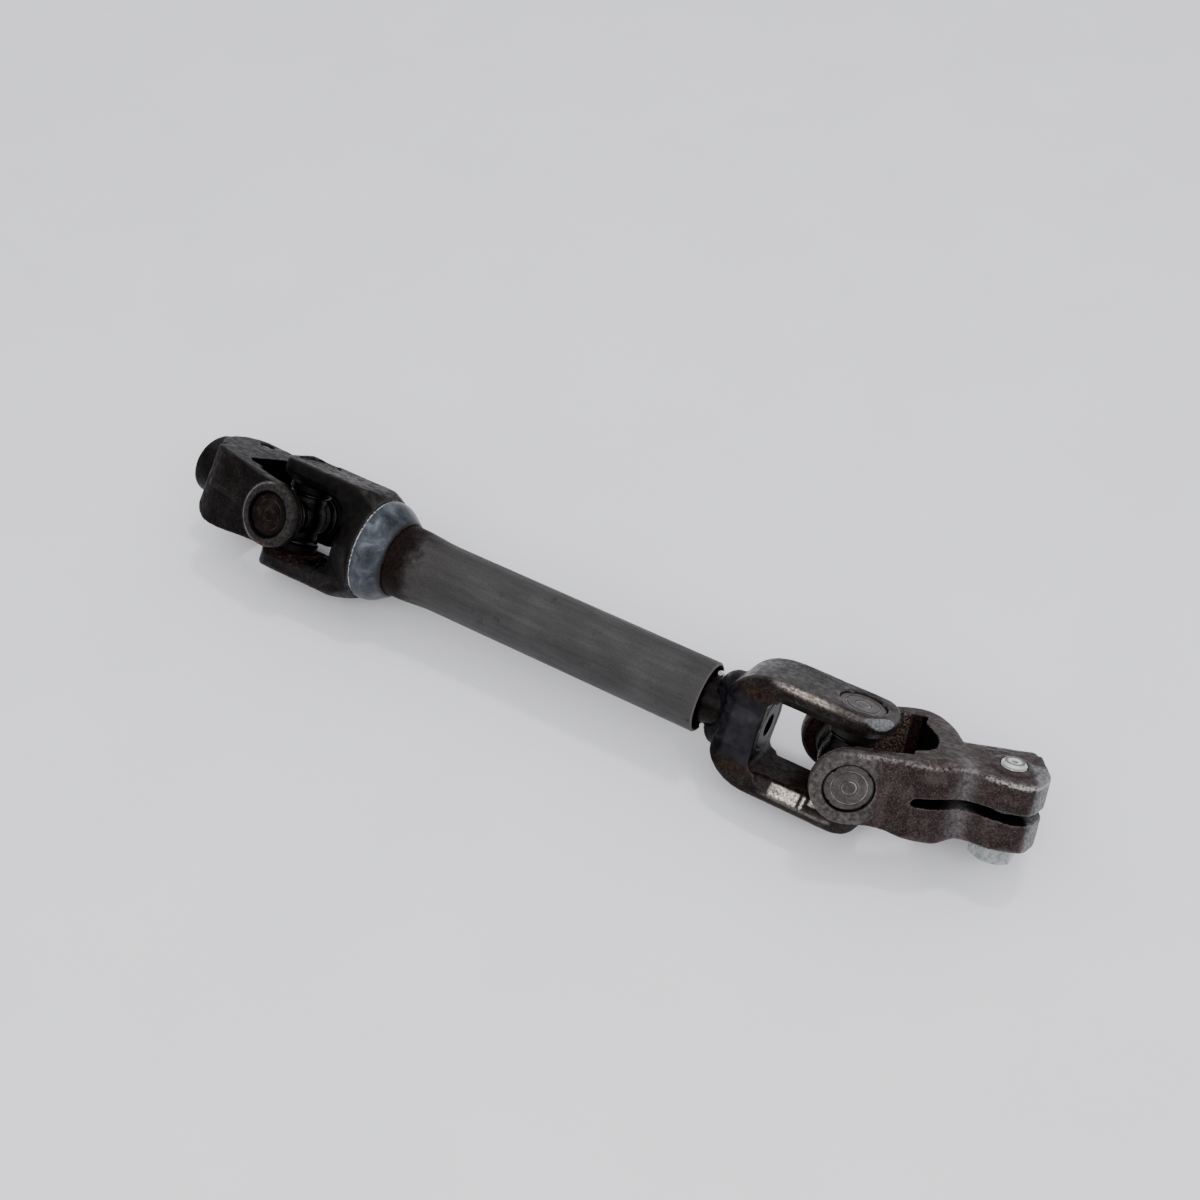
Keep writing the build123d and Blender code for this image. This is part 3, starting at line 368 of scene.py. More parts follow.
def shaft_extra(k, col, r, m):
    # nearly black front of the hub, smooth blue-grey barrel behind it
    blue = k.ramp(k.noise(5.0, 2.0, 0.5), [(0.35, (0.0045, 0.0045, 0.0062)), (0.65, (0.0165, 0.0165, 0.0205))])
    col = k.mix(k.math("MULTIPLY", k.attr("blue"), 0.92), col, blue)
    front = k.ramp(k.noise(2.0, 3.0, 0.6), [(0.38, (0.003, 0.003, 0.004)), (0.62, (0.012, 0.011, 0.014))])
    col = k.mix(k.attr("front"), col, front)
    brown = k.ramp(k.noise(1.2, 3.0, 0.6), [(0.40, (0.008, 0.004, 0.003)), (0.60, (0.032, 0.018, 0.013))])
    col = k.mix(k.attr("dent"), col, brown)
    # painted highlight along the arms' top edges
    line = k.math("MULTIPLY", k.attr("line"), k.ramp(k.noise(1.1, 4.0, 0.7), [(0.36, 0.1), (0.56, 1.0)]))
    col = k.mix(line, col, (0.29, 0.255, 0.225))
    r = k.mix(line, r, (0.25, 0.25, 0.25))
    silver = k.ramp(k.noise(0.8, 4.0, 0.75), [(0.42, (0.16, 0.125, 0.095)), (0.50, (0.45, 0.41, 0.36)), (0.60, (0.80, 0.77, 0.72))])
    glint = k.attr("glint")
    col = k.mix(glint, col, silver)
    r = k.mix(glint, r, (0.30, 0.30, 0.30))
    # painted shade on the arms' inner walls
    painted_shade_inside = k.attr("painted_shade_inside")
    col = k.mix(painted_shade_inside, col, k.ramp(k.noise(1.5, 3.0, 0.7), [(0.42, (0.004, 0.002, 0.002)), (0.60, (0.022, 0.014, 0.011))]))
    facet = k.ramp(k.noise(0.8, 3.0, 0.6), [(0.38, (0.085, 0.086, 0.090)), (0.62, (0.19, 0.19, 0.195))])
    col = k.mix(k.attr("facet"), col, facet)
    m = k.mix(k.math("MAXIMUM", glint, line), k.mix(painted_shade_inside, (m, m, m), (0.0, 0.0, 0.0)), (0.8, 0.8, 0.8))
    return col, r, m


MATS["shaft_yoke_forging"] = skin(
    "shaft_yoke_forging", ((0.0022, 0.0014, 0.0012), (0.0080, 0.0057, 0.0050), (0.022, 0.017, 0.0155)),
    (0.15, 0.13, 0.115), (0.002, 0.001, 0.001), rough=(0.28, 0.50), metal=0.25, wear=0.55, grain=0.35,
    extra=shaft_extra, speckle=0.40, shine=0.12)


def pinion_extra(k, col, r, m):
    grey = k.ramp(k.noise(1.6, 4.0, 0.65), [(0.36, (0.026, 0.022, 0.021)), (0.64, (0.094, 0.087, 0.084))])
    col = k.mix(k.math("MULTIPLY", k.attr("boss"), 0.85), col, grey)
    # painted shade on the arms' inner walls
    dark = k.ramp(k.noise(0.8, 4.0, 0.75), [(0.44, (0.003, 0.001, 0.001)), (0.60, (0.022, 0.012, 0.010))])
    col = k.mix(k.attr("painted_shade_inside"), col, dark)
    # painted light: the far arm's inner wall is lighter than the shaded throat
    pale = k.ramp(k.noise(0.7, 4.0, 0.75), [(0.44, (0.010, 0.005, 0.004)), (0.54, (0.060, 0.042, 0.034)), (0.64, (0.14, 0.115, 0.10))])
    col = k.mix(k.attr("pale"), col, pale)
    # painted shade, near black, in the pinch slot, on the throat's end wall and in the groove round the cup
    painted_black_shade = k.attr("painted_black_shade")
    col = k.mix(painted_black_shade, col, (0.002, 0.001, 0.001))
    r = k.mix(painted_black_shade, r, (0.9, 0.9, 0.9))
    # pale grey at the lug end, and a painted light band at x≈35 where the face pinches
    facet = k.ramp(k.noise(1.2, 4.0, 0.7), [(0.40, (0.075, 0.073, 0.075)), (0.60, (0.23, 0.225, 0.23))])
    col = k.mix(k.attr("facet"), col, facet)
    chips = k.math("MULTIPLY", k.attr("chips"), k.ramp(k.noise(1.0, 4.0, 0.75), [(0.44, 0.0), (0.56, 0.9)]), clamp=True)
    col = k.mix(chips, col, (0.40, 0.375, 0.365))
    # painted shade round the bolt tip and along the edge of the bolt pad
    col = k.mix(k.attr("grime_and_shade"), col, (0.010, 0.007, 0.006))
    m = k.mix(k.math("MAXIMUM", painted_black_shade, k.attr("painted_shade_inside")), (m, m, m), (0.0, 0.0, 0.0))
    return col, r, m


MATS["pinion_yoke_forging"] = skin(
    "pinion_yoke_forging", ((0.006, 0.0022, 0.0022), (0.021, 0.011, 0.0105), (0.048, 0.033, 0.032)),
    (0.23, 0.205, 0.195), (0.002, 0.001, 0.001), metal=0.12, wear=1.0, grain=0.95, extra=pinion_extra,
    speckle=0.42, shine=0.15)


def column_extra(k, col, r, m):
    grey = k.ramp(k.noise(1.4, 4.0, 0.7), [(0.36, (0.007, 0.006, 0.0055)), (0.64, (0.036, 0.032, 0.031))])
    col = k.mix(k.math("MULTIPLY", k.attr("boss"), 0.9), col, grey)
    # painted light: the up-facing faces and a few bands are lighter
    top = k.ramp(k.noise(2.2, 4.0, 0.65), [(0.38, (0.007, 0.0065, 0.0067)), (0.62, (0.022, 0.021, 0.0215))])
    col = k.mix(k.attr("top"), col, top)
    # painted highlight along part of the ear's rim
    col = k.mix(k.math("MULTIPLY", k.attr("edge"), k.ramp(k.noise(1.2, 3.0, 0.7), [(0.38, 0.2), (0.56, 0.9)])), col, (0.16, 0.155, 0.15))
    # painted shade: near black on the arms' inner walls, in the pinch slot, on the throat's end wall and in the groove
    # round the cup
    painted_black_shade = k.attr("painted_black_shade")
    col = k.mix(k.attr("painted_shade_inside"), col, (0.004, 0.003, 0.002))
    col = k.mix(painted_black_shade, col, (0.001, 0.001, 0.001))
    r = k.mix(painted_black_shade, r, (0.9, 0.9, 0.9))
    rust = k.ramp(k.noise(0.9, 4.0, 0.7), [(0.42, (0.012, 0.006, 0.004)), (0.60, (0.16, 0.080, 0.045))])
    col = k.mix(k.attr("rust"), col, rust)
    m = k.mix(k.math("MAXIMUM", painted_black_shade, k.attr("painted_shade_inside")), (m, m, m), (0.0, 0.0, 0.0))
    return col, r, m


MATS["column_yoke_forging"] = skin(
    "column_yoke_forging", ((0.0008, 0.0005, 0.0004), (0.0028, 0.0016, 0.0014), (0.0095, 0.0068, 0.0062)),
    (0.070, 0.065, 0.061), (0.001, 0.0007, 0.0006), metal=0.1, wear=1.0, grain=0.9, extra=column_extra,
    speckle=0.45, shine=0.05)


def tube_yoke_extra(k, col, r, m):
    # painted shade on the faces turned towards local +y
    painted_shade_side = k.ramp(k.noise(3.0, 3.0, 0.6), [(0.38, (0.0008, 0.0006, 0.0005)), (0.62, (0.0035, 0.0025, 0.002))])
    col = k.mix(k.attr("painted_shade_side"), col, painted_shade_side)
    # nearly black and glossy between the arms
    dark_gloss = k.attr("dark_gloss")
    col = k.mix(dark_gloss, col, (0.0004, 0.0003, 0.0003))
    r = k.mix(dark_gloss, r, k.ramp(k.noise(1.6, 3.0, 0.6), [(0.40, 0.12), (0.60, 0.35)]))
    rust = k.math("MULTIPLY", k.attr("rust"), k.ramp(k.noise(1.6, 4.0, 0.75), [(0.40, 0.0), (0.55, 1.0)]), clamp=True)
    tone = k.ramp(k.noise(1.3, 5.0, 0.78), [(0.42, (0.004, 0.0018, 0.0012)), (0.55, (0.024, 0.011, 0.0075)), (0.68, (0.11, 0.085, 0.070))])
    col = k.mix(rust, col, tone)
    return col, r, m


MATS["tube_yoke_forging"] = skin(
    "tube_yoke_forging", ((0.004, 0.003, 0.003), (0.012, 0.010, 0.010), (0.029, 0.026, 0.025)),
    (0.095, 0.088, 0.082), (0.001, 0.0007, 0.0005), metal=0.12, wear=0.8, grain=0.55, extra=tube_yoke_extra,
    speckle=0.40, shine=0.08)


# weld bead: smooth blue-grey heat tint, dotted bright toe, dark far edge
def weld_material():
    k = Nodes("weld_bead")
    cloudy = k.noise(7.0, 3.0, 0.55, distortion=0.5)
    col = k.ramp(cloudy, [(0.34, (0.012, 0.014, 0.018)), (0.50, (0.036, 0.042, 0.053)), (0.66, (0.090, 0.102, 0.121))])
    speck = k.ramp(k.noise(0.9, 4.0, 0.75), [(0.58, 0.0), (0.70, 0.35)])
    col = k.mix(speck, col, (0.20, 0.21, 0.225))
    dots = k.ramp(k.noise(0.9, 2.0, 0.5), [(0.42, 0.0), (0.58, 1.0)])
    toe = k.math("MULTIPLY", k.attr("toe"), dots)
    col = k.mix(toe, col, (0.60, 0.60, 0.60))
    col = k.mix(k.attr("shade"), col, (0.009, 0.006, 0.005))
    r = k.mix(toe, (0.36, 0.36, 0.36), (0.22, 0.22, 0.22))
    return k.out(col, r, 0.35, k.bump(k.noise(1.2, 3.0, 0.55), 0.35, 0.22), 0.3)


MATS["weld_bead"] = weld_material()


# drawn tube under a dark satin phosphate coat
def tube_material():
    k = Nodes("tube_steel")
    along = k.mapped((0.10, 1, 1))
    streak = k.noise(1.8, 4.0, 0.6, co=along)
    grain = k.noise(0.5, 3.0, 0.7)
    broad = k.noise(18.0, 3.0, 0.5)
    blend = k.math("ADD", k.math("ADD", k.math("MULTIPLY", streak, 0.30), k.math("MULTIPLY", grain, 0.35)),
                   k.math("MULTIPLY", broad, 0.35))
    col = k.ramp(blend, [(0.38, (0.026, 0.0245, 0.0245)), (0.5, (0.037, 0.0355, 0.0355)), (0.62, (0.053, 0.051, 0.0515))])
    xyz = k.new("ShaderNodeSeparateXYZ")
    k.link(k.co, xyz.inputs[0])
    x = xyz.outputs["X"]

    def band(x_full, x_none):
        """1 at x_full (mm from the mouth), fading to 0 at x_none"""
        b = k.new("ShaderNodeMapRange", interpolation_type="SMOOTHSTEP")
        b.inputs["From Min"].default_value = (OFF[0] + x_none) / 1000.0
        b.inputs["From Max"].default_value = (OFF[0] + x_full) / 1000.0
        k.link(x, b.inputs["Value"])
        return b.outputs[0]

    # brown tint over the welded end, black-brown burnt stain beside the weld
    brown = k.math("MULTIPLY", band(-121.0, -88.0), k.ramp(k.noise(9.0, 3.0, 0.6), [(0.32, 0.35), (0.62, 1.0)]), clamp=True)
    col = k.mix(brown, col, k.ramp(grain, [(0.38, (0.011, 0.008, 0.007)), (0.62, (0.028, 0.023, 0.021))]))
    ragged = k.math("ADD", band(-120.5, -108.0), k.math("MULTIPLY", k.math("SUBTRACT", k.noise(6.0, 4.0, 0.6), 0.5), 1.7))
    burnt = k.ramp(ragged, [(0.22, 0.0), (0.50, 0.6), (0.85, 0.95)])
    col = k.mix(burnt, col, k.ramp(k.noise(0.9, 4.0, 0.7), [(0.42, (0.0010, 0.0004, 0.0003)), (0.66, (0.011, 0.0052, 0.0035))]))
    # thin worn rim at the open mouth
    col = k.mix(k.math("MULTIPLY", band(-0.15, -0.7), 0.5), col, (0.15, 0.14, 0.13))
    # painted shade inside the mouth
    r2 = k.math("ADD", k.math("POWER", k.math("SUBTRACT", xyz.outputs["Y"], OFF[1] / 1000.0), 2.0),
                k.math("POWER", k.math("SUBTRACT", xyz.outputs["Z"], OFF[2] / 1000.0), 2.0))
    within = k.math("LESS_THAN", r2, (11.75 / 1000.0) ** 2)
    col = k.mix(within, col, (0.006, 0.004, 0.003))
    r = k.ramp(k.noise(2.0, 3.0, 0.6, co=along), [(0.35, 0.46), (0.65, 0.60)])
    r = k.mix(burnt, r, (0.55, 0.55, 0.55))
    k.link(k.math("SUBTRACT", 0.20, k.math("MULTIPLY", burnt, 0.15)), k.b.inputs["Specular IOR Level"])
    return k.out(col, r, 0.10, k.bump(grain, 0.40, 0.12), 0.20)


MATS["tube_steel"] = tube_material()


def shaft_material():
    k = Nodes("shaft_steel")
    brown = k.ramp(k.noise(1.6, 4.0, 0.65), [(0.40, (0.0008, 0.0004, 0.0003)), (0.52, (0.003, 0.0016, 0.0013)), (0.64, (0.008, 0.005, 0.004))])
    return k.out(brown, 0.30, 0.0, k.bump(k.noise(0.7), 0.4, 0.12), 0.07)


MATS["shaft_steel"] = shaft_material()


# bearing cups: dull brown-grey face with turned rings, burnished along two circles
def cup_material():
    k = Nodes("cup_steel")

    def from_axes(shift):
        """distance in mm from the nearest cup axis, the axes moved by shift"""
        near = k.math("MINIMUM", k.math("MINIMUM", k.axis_distance(C_P + shift, n2P), k.axis_distance(C_P + shift, p1)),
                      k.math("MINIMUM", k.axis_distance(C_C + shift, n2C), k.axis_distance(C_C + shift, c1)))
        return k.math("MULTIPLY", near, 1000.0)

    r = from_axes(np.zeros(3))
    shadow_side_distance = from_axes(np.array([-0.42, 0.05, 0.25]))
    soft = k.math("ADD", k.math("MULTIPLY", k.noise(3.0, 3.0, 0.6), 0.5), k.math("MULTIPLY", k.noise(0.6, 4.0, 0.7), 0.5))
    col = k.ramp(soft, [(0.40, (0.022, 0.017, 0.016)), (0.5, (0.044, 0.037, 0.036)), (0.62, (0.074, 0.066, 0.064))])
    # the far joint's cups are darker and browner
    split = k.new("ShaderNodeSeparateXYZ")
    k.link(k.co, split.inputs[0])
    far = k.math("LESS_THAN", split.outputs["X"], 0.0)
    col = k.mix(far, col, k.ramp(soft, [(0.40, (0.001, 0.0005, 0.0003)), (0.52, (0.005, 0.0025, 0.002)), (0.64, (0.022, 0.013, 0.010))]))
    turned = k.math("SINE", k.math("MULTIPLY", r, 14.0))
    col = k.mix(k.math("MULTIPLY", k.math("ADD", turned, 1.0), k.math("SUBTRACT", 0.05, k.math("MULTIPLY", far, 0.045))), col, (0.16, 0.15, 0.145))

    def ring(radius, half, of):
        d = k.math("ABSOLUTE", k.math("SUBTRACT", of, radius))
        return k.ramp(k.math("DIVIDE", d, half * 2.0), [(0.2, 1.0), (0.7, 0.0)])

    broken = k.ramp(k.noise(4.0, 4.0, 0.65), [(0.42, 0.06), (0.60, 0.85)])
    lines = k.math("ADD", ring(2.2, 0.16, r), ring(5.6, 0.14, r), clamp=True)
    bright = k.math("MULTIPLY", k.math("ADD", lines, k.math("MULTIPLY", ring(3.0, 0.10, r), 0.4), clamp=True), broken)
    col = k.mix(bright, col, k.mix(far, (0.30, 0.28, 0.27), (0.06, 0.05, 0.045)))
    # painted shade: a dark crescent over part of the cup's edge, under the recess lip
    edge = k.ramp(k.math("SUBTRACT", shadow_side_distance, 7.0), [(0.50, 0.0), (0.72, 1.0)])
    col = k.mix(edge, col, (0.003, 0.002, 0.002))
    rough = k.mix(bright, (0.44, 0.44, 0.44), (0.28, 0.28, 0.28))
    height = k.math("ADD", k.math("MULTIPLY", turned, 0.15), k.noise(0.4))
    shine = k.mix(far, (0.30, 0.30, 0.30), (0.06, 0.06, 0.06))
    k.link(shine, k.b.inputs["Specular IOR Level"])
    return k.out(col, rough, 0.15, k.bump(height, 0.3, 0.07), 0.3)


MATS["cup_steel"] = cup_material()


def simple(name, dark, light, rough, metal, mm=1.5, grain=0.3, depth=0.08, shine=0.5):
    k = Nodes(name)
    col = k.ramp(k.noise(mm, 4.0, 0.65), [(0.36, dark), (0.64, light)])
    r = k.ramp(k.noise(mm * 0.8, 3.0, 0.6), [(0.35, max(0.05, rough - 0.08)), (0.65, rough + 0.1)])
    return k.out(col, r, metal, k.bump(k.noise(mm * 0.35, 3.0, 0.6), grain, depth), shine)


MATS["spline_resin"] = simple("spline_resin", (0.05, 0.05, 0.045), (0.09, 0.09, 0.08), 0.5, 0.0)
MATS["ring_steel"] = simple("ring_steel", (0.55, 0.55, 0.54), (0.88, 0.88, 0.87), 0.15, 0.25, 0.9)
MATS["needle_steel"] = simple("needle_steel", (0.35, 0.35, 0.35), (0.6, 0.6, 0.6), 0.25, 1.0)
MATS["cross_steel"] = simple("cross_steel", (0.0004, 0.0003, 0.0003), (0.0025, 0.0017, 0.0014), 0.10, 0.0, 1.6, 0.6, 0.3, 0.10)
MATS["seal_rubber"] = simple("seal_rubber", (0.0005, 0.0005, 0.0005), (0.003, 0.0025, 0.0025), 0.13, 0.0, 1.2, 0.5, 0.2, 0.35)


# zinc plated bolts: hexagon head with dulled faces; painted light and dark rings on the pinion bolt's threaded end
# stand in for the chamfer's highlight and the shade in its dished tip
def bolt_material():
    k = Nodes("bolt_zinc")
    col = k.ramp(k.noise(2.2, 4.0, 0.65), [(0.36, (0.20, 0.215, 0.21)), (0.64, (0.38, 0.40, 0.39))])
    spot = k.ramp(k.noise(0.9, 4.0, 0.7), [(0.34, 1.0), (0.44, 0.0)])
    col = k.mix(k.math("MULTIPLY", spot, 0.7), col, (0.07, 0.07, 0.07))
    org, axes = F_PINION
    r = k.math("MULTIPLY", k.axis_distance(org + axes.T @ np.array([49.5, -12.4, 0]), axes[2]), 1000.0)

    def ring(radius, half):
        d = k.math("ABSOLUTE", k.math("SUBTRACT", r, radius))
        return k.ramp(k.math("DIVIDE", d, half * 2.0), [(0.3, 1.0), (0.6, 0.0)])

    # painted shade ring, then painted highlight rings on the chamfer and the centre
    col = k.mix(ring(2.75, 0.32), col, (0.06, 0.055, 0.05))
    col = k.mix(ring(3.6, 0.38), col, (0.52, 0.54, 0.53))
    col = k.mix(ring(1.5, 0.5), col, (0.62, 0.64, 0.63))
    rough = k.ramp(k.noise(1.8, 3.0, 0.6), [(0.35, 0.22), (0.65, 0.38)])
    return k.out(col, rough, 0.5, k.bump(k.noise(0.8, 3.0, 0.6), 0.3, 0.05), 0.5)


MATS["bolt_zinc"] = bolt_material()
MATS["washer_steel"] = simple("washer_steel", (0.16, 0.16, 0.155), (0.35, 0.35, 0.34), 0.4, 0.8)

# ---------------------------------------------------------------------------
# Forgings. Masks are worked out in each yoke's own frame, in millimetres
# ---------------------------------------------------------------------------


def machined_z(p):
    """cup bores along local z and the ear faces round them"""
    r = np.hypot(p[:, 0], p[:, 1])
    return np.clip(step(-r, -9.6, -8.8) * step(np.abs(p[:, 2]), 11.5, 12.5), 0, 1)


def machined_y(p):
    r = np.hypot(p[:, 0], p[:, 2])
    bore = step(-np.hypot(p[:, 1], p[:, 2]), -9.4, -8.9) * step(p[:, 0], 20, 22)
    return np.clip(step(-r, -9.6, -8.8) * step(np.abs(p[:, 1]), 11.5, 12.5) + bore, 0, 1)


def shaft_masks(p, n):
    x, y, z = p.T
    r = np.hypot(y, z)
    hub = step(-x, 25.5, 27.5) * step(-np.abs(z), -14.8, -11.0) * step(-np.abs(y) * -1, 2.0, 5.0)
    front = step(-x, 35.6, 37.4) * step(-np.abs(z), -16.5, -12.5)
    # inner walls of the arms: painted shade
    painted_shade_inside = (np.abs(z) < 13.6) * step(-n[:, 2] * np.sign(z), 0.5, 0.8) * (x > -26.0)
    # ground patch along the near edge of the lower arm's inner side, split by a gap
    patch = step(x, -17.5, -16.9) * step(-x, 5.0, 5.6) * step(z, -17.3, -16.7) * step(-z, 12.6, 13.2) * step(-y, 9.2, 10.0)
    gap = 1 - step(x, -7.6, -7.2) * step(-x, 5.9, 6.3)
    tail = step(x, -4.0, -3.6) * step(-x, -1.0, -0.4) * step(z, -15.0, -14.6) * step(-z, 13.0, 13.4) * step(-y, 9.2, 10.0)
    fade = 0.45 + 0.55 * step(x, -18.0, -13.0)
    # painted highlight along the upper arm's near top edge, a fainter one along the lower arm
    line = np.exp(-((z - 19.6) / 0.9) ** 2) * step(-y, 9.4, 10.8) * step(x, -29, -22) * (1 - 0.75 * step(x, -11, -3))
    line = np.clip(line + 0.5 * np.exp(-((z + 17.4) / 0.6) ** 2) * step(-y, 11.2, 12.0) * step(x, -22, -14), 0, 1)
    dent = np.exp(-(((x + 31) / 6.0) ** 2 + ((z - 13.2) / 2.6) ** 2)) * step(-y, 3, 7)
    dent = np.clip(dent + 0.9 * np.exp(-(((x + 32) / 7.0) ** 2 + ((z + 13.5) / 2.2) ** 2)) * step(-y, 3, 7), 0, 1)
    cut = (p - np.array([8.47, -8.02, 19.32])) @ np.array([0.61, -0.56, 0.56]) / 0.999
    facet = step(cut, -0.55, -0.15) * step(n @ np.array([0.61, -0.56, 0.56]), 0.72, 0.9)
    return {"blue": np.clip(hub, 0, 1), "front": front, "painted_shade_inside": np.clip(painted_shade_inside, 0, 1), "line": line,
            "glint": np.clip((patch * gap) * fade + tail * 0.8, 0, 1), "dent": dent, "facet": facet,
            "dull": np.clip(front + 0.6 * dent, 0, 1)}


def pinion_masks(p, n):
    x, y, z = p.T
    r = np.hypot(x, z)
    boss = step(-r, -12.9, -12.2) * step(np.abs(y), 17.5, 18.5) * (1 - 0.85 * step(x, 4, 9.5))
    # inner walls of the arms: painted shade
    painted_shade_inside = (np.abs(y) < 15.0) * (x < 28) * (np.abs(n[:, 1]) > 0.30) * (np.sign(y) * n[:, 1] < 0)
    # far arm's inner wall: painted light
    pale = (y > 0) * (y < 16.5) * step(-x, -21.5, -20.5) * step(x, 4.0, 7.0) * (n[:, 1] < -0.35)
    # painted shade, near black, in the pinch slot, on the throat's end wall and in the groove round the cup
    slot = (z > -2.6) * (z < 1.5) * (x > 19.0) * (y < -7.0) * (np.abs(n[:, 2]) > 0.5)
    wall = (np.abs(y) < 13.6) * (x > 20.0) * (x < 32) * (n[:, 0] < -0.35)
    # pale grey at the lug end, and a painted light band at x≈35 where the face pinches
    facet = np.clip(step(x, 54.0, 56.5) * step(-y, 8, 11) + 0.45 * np.exp(-((x - 35) / 3.0) ** 2) * step(-y, 11, 13), 0, 1)
    round_bolt = np.hypot(x - 49.5, y + 12.4)
    rim = step(-np.hypot(x + 0.25, z - 0.1), -8.5, -8.1) * step(np.abs(y), 17.5, 18.5)
    # painted shade round the bolt tip and along the edge of the bolt pad
    hole = step(-round_bolt, -5.1, -4.5) * (z > 11)
    groove = np.exp(-((round_bolt - 7.3) / 0.5) ** 2) * (z > 10.5) * step(n[:, 2], 0.4, 0.7) * 0.55
    chips = np.exp(-((z - 10.9) / 0.75) ** 2) * step(-y, 14.0, 17.5) * step(x, 38, 42)
    chips += 0.4 * np.exp(-((z - 11.6) / 0.7) ** 2) * step(-y, 17.0, 18.5) * (x < 38) * step(x, -4, 2)
    return {"boss": boss, "painted_shade_inside": np.clip(painted_shade_inside, 0, 1), "pale": pale, "painted_black_shade": np.clip(slot + wall + rim, 0, 1),
            "facet": facet * 0.8, "grime_and_shade": np.clip(hole + groove, 0, 1), "chips": np.clip(chips, 0, 1)}


def column_masks(p, n):
    x, y, z = p.T
    r = np.hypot(x, z)
    boss = step(-r, -12.3, -11.7) * step(np.abs(y), 17.5, 18.5)
    # painted shade on the arms' inner walls, in the slot, on the end wall and in the groove round the cup
    painted_shade_inside = (np.abs(y) < 15.0) * (x < 26) * (np.abs(n[:, 1]) > 0.35) * (np.sign(y) * n[:, 1] < 0)
    slot = (np.abs(z) < 1.6) * (x > 18.0) * (y < -7.0) * (np.abs(n[:, 2]) > 0.5)
    wall = (np.abs(y) < 13.0) * (x > 16.0) * (x < 25) * (n[:, 0] < -0.4)
    # painted light on up-facing faces; the band at x≈36, the line along the rib and the down-facing faces at y 8–14 are
    # lighter too
    top = step(n[:, 2], 0.25, 0.75) * step(z, 6.0, 8.5) * step(x, 2, 10)
    edge = np.exp(-((x - 36.2) / 1.3) ** 2) * step(y, 11.5, 13.5) * 0.7 + np.exp(-((y + 0.0) / 9.0) ** 2) * 0
    rib = np.exp(-((z + 0.7) / 0.45) ** 2) * step(y, 16.5, 17.5) * step(x, 13.5, 16) * step(-x, -34, -31) * 0.55
    low = step(-n[:, 2], 0.25, 0.7) * step(y, 8, 14) * step(x, 6, 12) * 0.55
    light = np.clip(top * 0.9 + edge + rib + low, 0, 1)
    rust = np.exp(-(((x + 3) / 5.0) ** 2)) * step(-z, 9.5, 11.2) * step(y, 12, 15) * 0.7
    rim = step(-r, -9.1, -8.5) * step(np.abs(y), 17.5, 18.5)
    edge_light = np.exp(-((r - 11.5) / 0.35) ** 2) * step(x, 0, 5) * step(np.abs(y), 19.5, 20.2)
    return {"boss": boss, "painted_shade_inside": np.clip(painted_shade_inside, 0, 1), "painted_black_shade": np.clip(slot + wall + rim * 0.95, 0, 1), "rust": rust,
            "top": light, "edge": edge_light}


def tube_yoke_masks(p, n):
    x, y, z = p.T
    # nearly black and glossy between the arms
    dark_gloss = np.clip(step(-np.abs(z), -14.6, -13.0) * (1 - step(-x, 22.5, 26)), 0, 1)
    inner = (z < 0) * (z > -17.5) * step(n[:, 2], 0.3, 0.7)
    rust = np.clip(inner * step(x, -14.0, -8.0) + 0.6 * step(x, 6.5, 9.0) * step(-z, 13.0, 14.0), 0, 1)
    # faces turned towards local +y: painted shade
    painted_shade_side = step(n[:, 1], 0.35, 0.8) * (1 - 0.5 * step(-z, 12, 16))
    return {"dark_gloss": dark_gloss * (1 - 0.9 * inner * step(x, -12, -6)), "rust": rust, "painted_shade_side": painted_shade_side}


def weld_masks(p, n):
    x, y, z = p.T
    toe = step(x, -134.5, -134.1) * step(-x, 133.4, 133.9)
    shade = np.clip(step(x, -125.2, -123.6), 0, 1)
    return {"toe": toe, "shade": shade}


forged("shaft_yoke", "inner_shaft", "shaft_yoke_forging", F_SHAFT_YOKE, keep_sharp=machined_z, masks=shaft_masks, rounds=8, pits=0.03)
forged("tube_yoke", "outer_shaft", "tube_yoke_forging", F_TUBE_YOKE, keep_sharp=machined_z, masks=tube_yoke_masks, rounds=7, pits=0.05)
forged("pinion_yoke", "pinion_yoke", "pinion_yoke_forging", F_PINION, keep_sharp=machined_y, masks=pinion_masks, rounds=9, pits=0.06)
forged("column_yoke", "column_yoke", "column_yoke_forging", F_COLUMN, keep_sharp=machined_y, masks=column_masks, rounds=10, pits=0.06)
forged("tube_weld", "outer_shaft", "weld_bead", F_TUBE, masks=weld_masks, rounds=3, pits=0.03)

# ---------------------------------------------------------------------------
# CAD nodes that keep their own mesh
# ---------------------------------------------------------------------------
SLOTS = {s["node"]: s["material_slot"] for s in frame["record"]["subparts"]}
for name, ob in NODES.items():
    if name in SLOTS and SLOTS[name] in MATS:
        for s in ob.material_slots:
            s.material = MATS[SLOTS[name]]

# ---------------------------------------------------------------------------
# Floor, light, camera
# ---------------------------------------------------------------------------
bm = bmesh.new()
bmesh.ops.create_grid(bm, x_segments=1, y_segments=1, size=6.0)
floor_me = bpy.data.meshes.new("floor")
bm.to_mesh(floor_me)
bm.free()
floor = bpy.data.objects.new("floor", floor_me)
SCENE.collection.objects.link(floor)
k = Nodes("floor")
floor_me.materials.append(k.out(k.ramp(k.noise(60.0, 3.0, 0.5), [(0.3, (0.82, 0.82, 0.84)), (0.7, (0.85, 0.85, 0.87))]), 0.55, 0.0, shine=0.3))

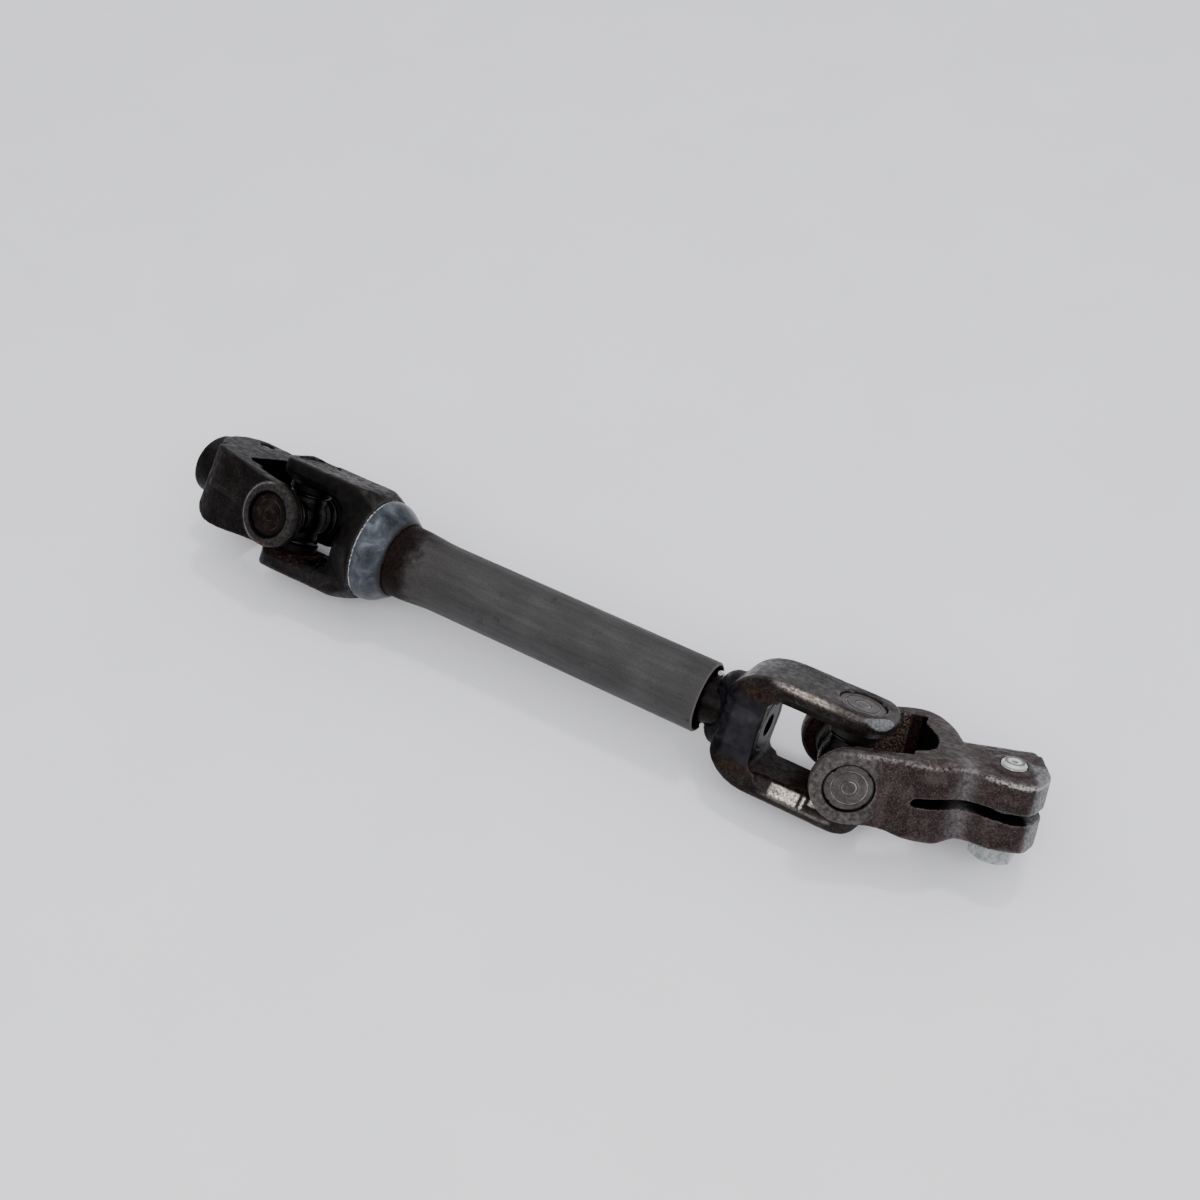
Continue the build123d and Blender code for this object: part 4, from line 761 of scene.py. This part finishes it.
# soft room light: bright overhead, dim towards the walls
world = bpy.data.worlds.new("soft")
SCENE.world = world
world.use_nodes = True
wt = world.node_tree
place_on_sky = wt.nodes.new("ShaderNodeTexCoord")
split = wt.nodes.new("ShaderNodeSeparateXYZ")
wt.links.new(place_on_sky.outputs["Generated"], split.inputs[0])
sky = wt.nodes.new("ShaderNodeValToRGB")
els = sky.color_ramp.elements
els[0].position, els[0].color = 0.05, (0.42, 0.425, 0.44, 1)
els[1].position, els[1].color = 0.85, (1.36, 1.37, 1.42, 1)
wt.links.new(split.outputs["Z"], sky.inputs["Fac"])
wt.links.new(sky.outputs["Color"], wt.nodes["Background"].inputs["Color"])
wt.nodes["Background"].inputs["Strength"].default_value = 1.0


def area(name, place, target, size, power, color=(1, 1, 1)):
    data = bpy.data.lights.new(name, "AREA")
    data.shape = "RECTANGLE"
    data.size, data.size_y = size
    data.energy = power
    data.color = color
    ob = bpy.data.objects.new(name, data)
    SCENE.collection.objects.link(ob)
    ob.location = place
    d = Vector(target) - Vector(place)
    ob.rotation_euler = d.to_track_quat("-Z", "Y").to_euler()
    return ob


area("key", (0.05, 0.35, 1.20), (0, 0, 0), (0.13, 0.10), 3.0, (1.0, 1.0, 1.0))
area("fill", (0.10, -0.75, 0.85), (0, -0.05, 0), (0.9, 0.6), 4.5, (1.0, 1.0, 1.0))
area("rim", (0.75, -0.35, 0.9), (0, 0, 0), (0.35, 0.25), 2.0, (0.97, 0.98, 1.0))

PITCH, YAW, ROLL = math.radians(49.5), math.radians(30.3), math.radians(0.3)
right = np.array([math.cos(YAW), math.sin(YAW), 0])
ahead = np.array([-math.sin(YAW), math.cos(YAW), 0])
up = np.array([0, 0, 1.0])
fwd = math.cos(PITCH) * ahead - math.sin(PITCH) * up
down = -math.sin(PITCH) * ahead - math.cos(PITCH) * up
r2 = math.cos(ROLL) * right + math.sin(ROLL) * down
d2 = -math.sin(ROLL) * right + math.cos(ROLL) * down
place = (np.array([109.1, -257.4, 374.9]) + OFF) / 1000.0
cam_data = bpy.data.cameras.new("camera")
cam_data.lens = 42.0
cam_data.sensor_width = 36.0
cam_data.clip_start = 0.01
cam = bpy.data.objects.new("camera", cam_data)
SCENE.collection.objects.link(cam)
m = Matrix.Identity(4)
for i in range(3):
    m[i][0], m[i][1], m[i][2], m[i][3] = r2[i], -d2[i], -fwd[i], place[i]
cam.matrix_world = m
SCENE.camera = cam
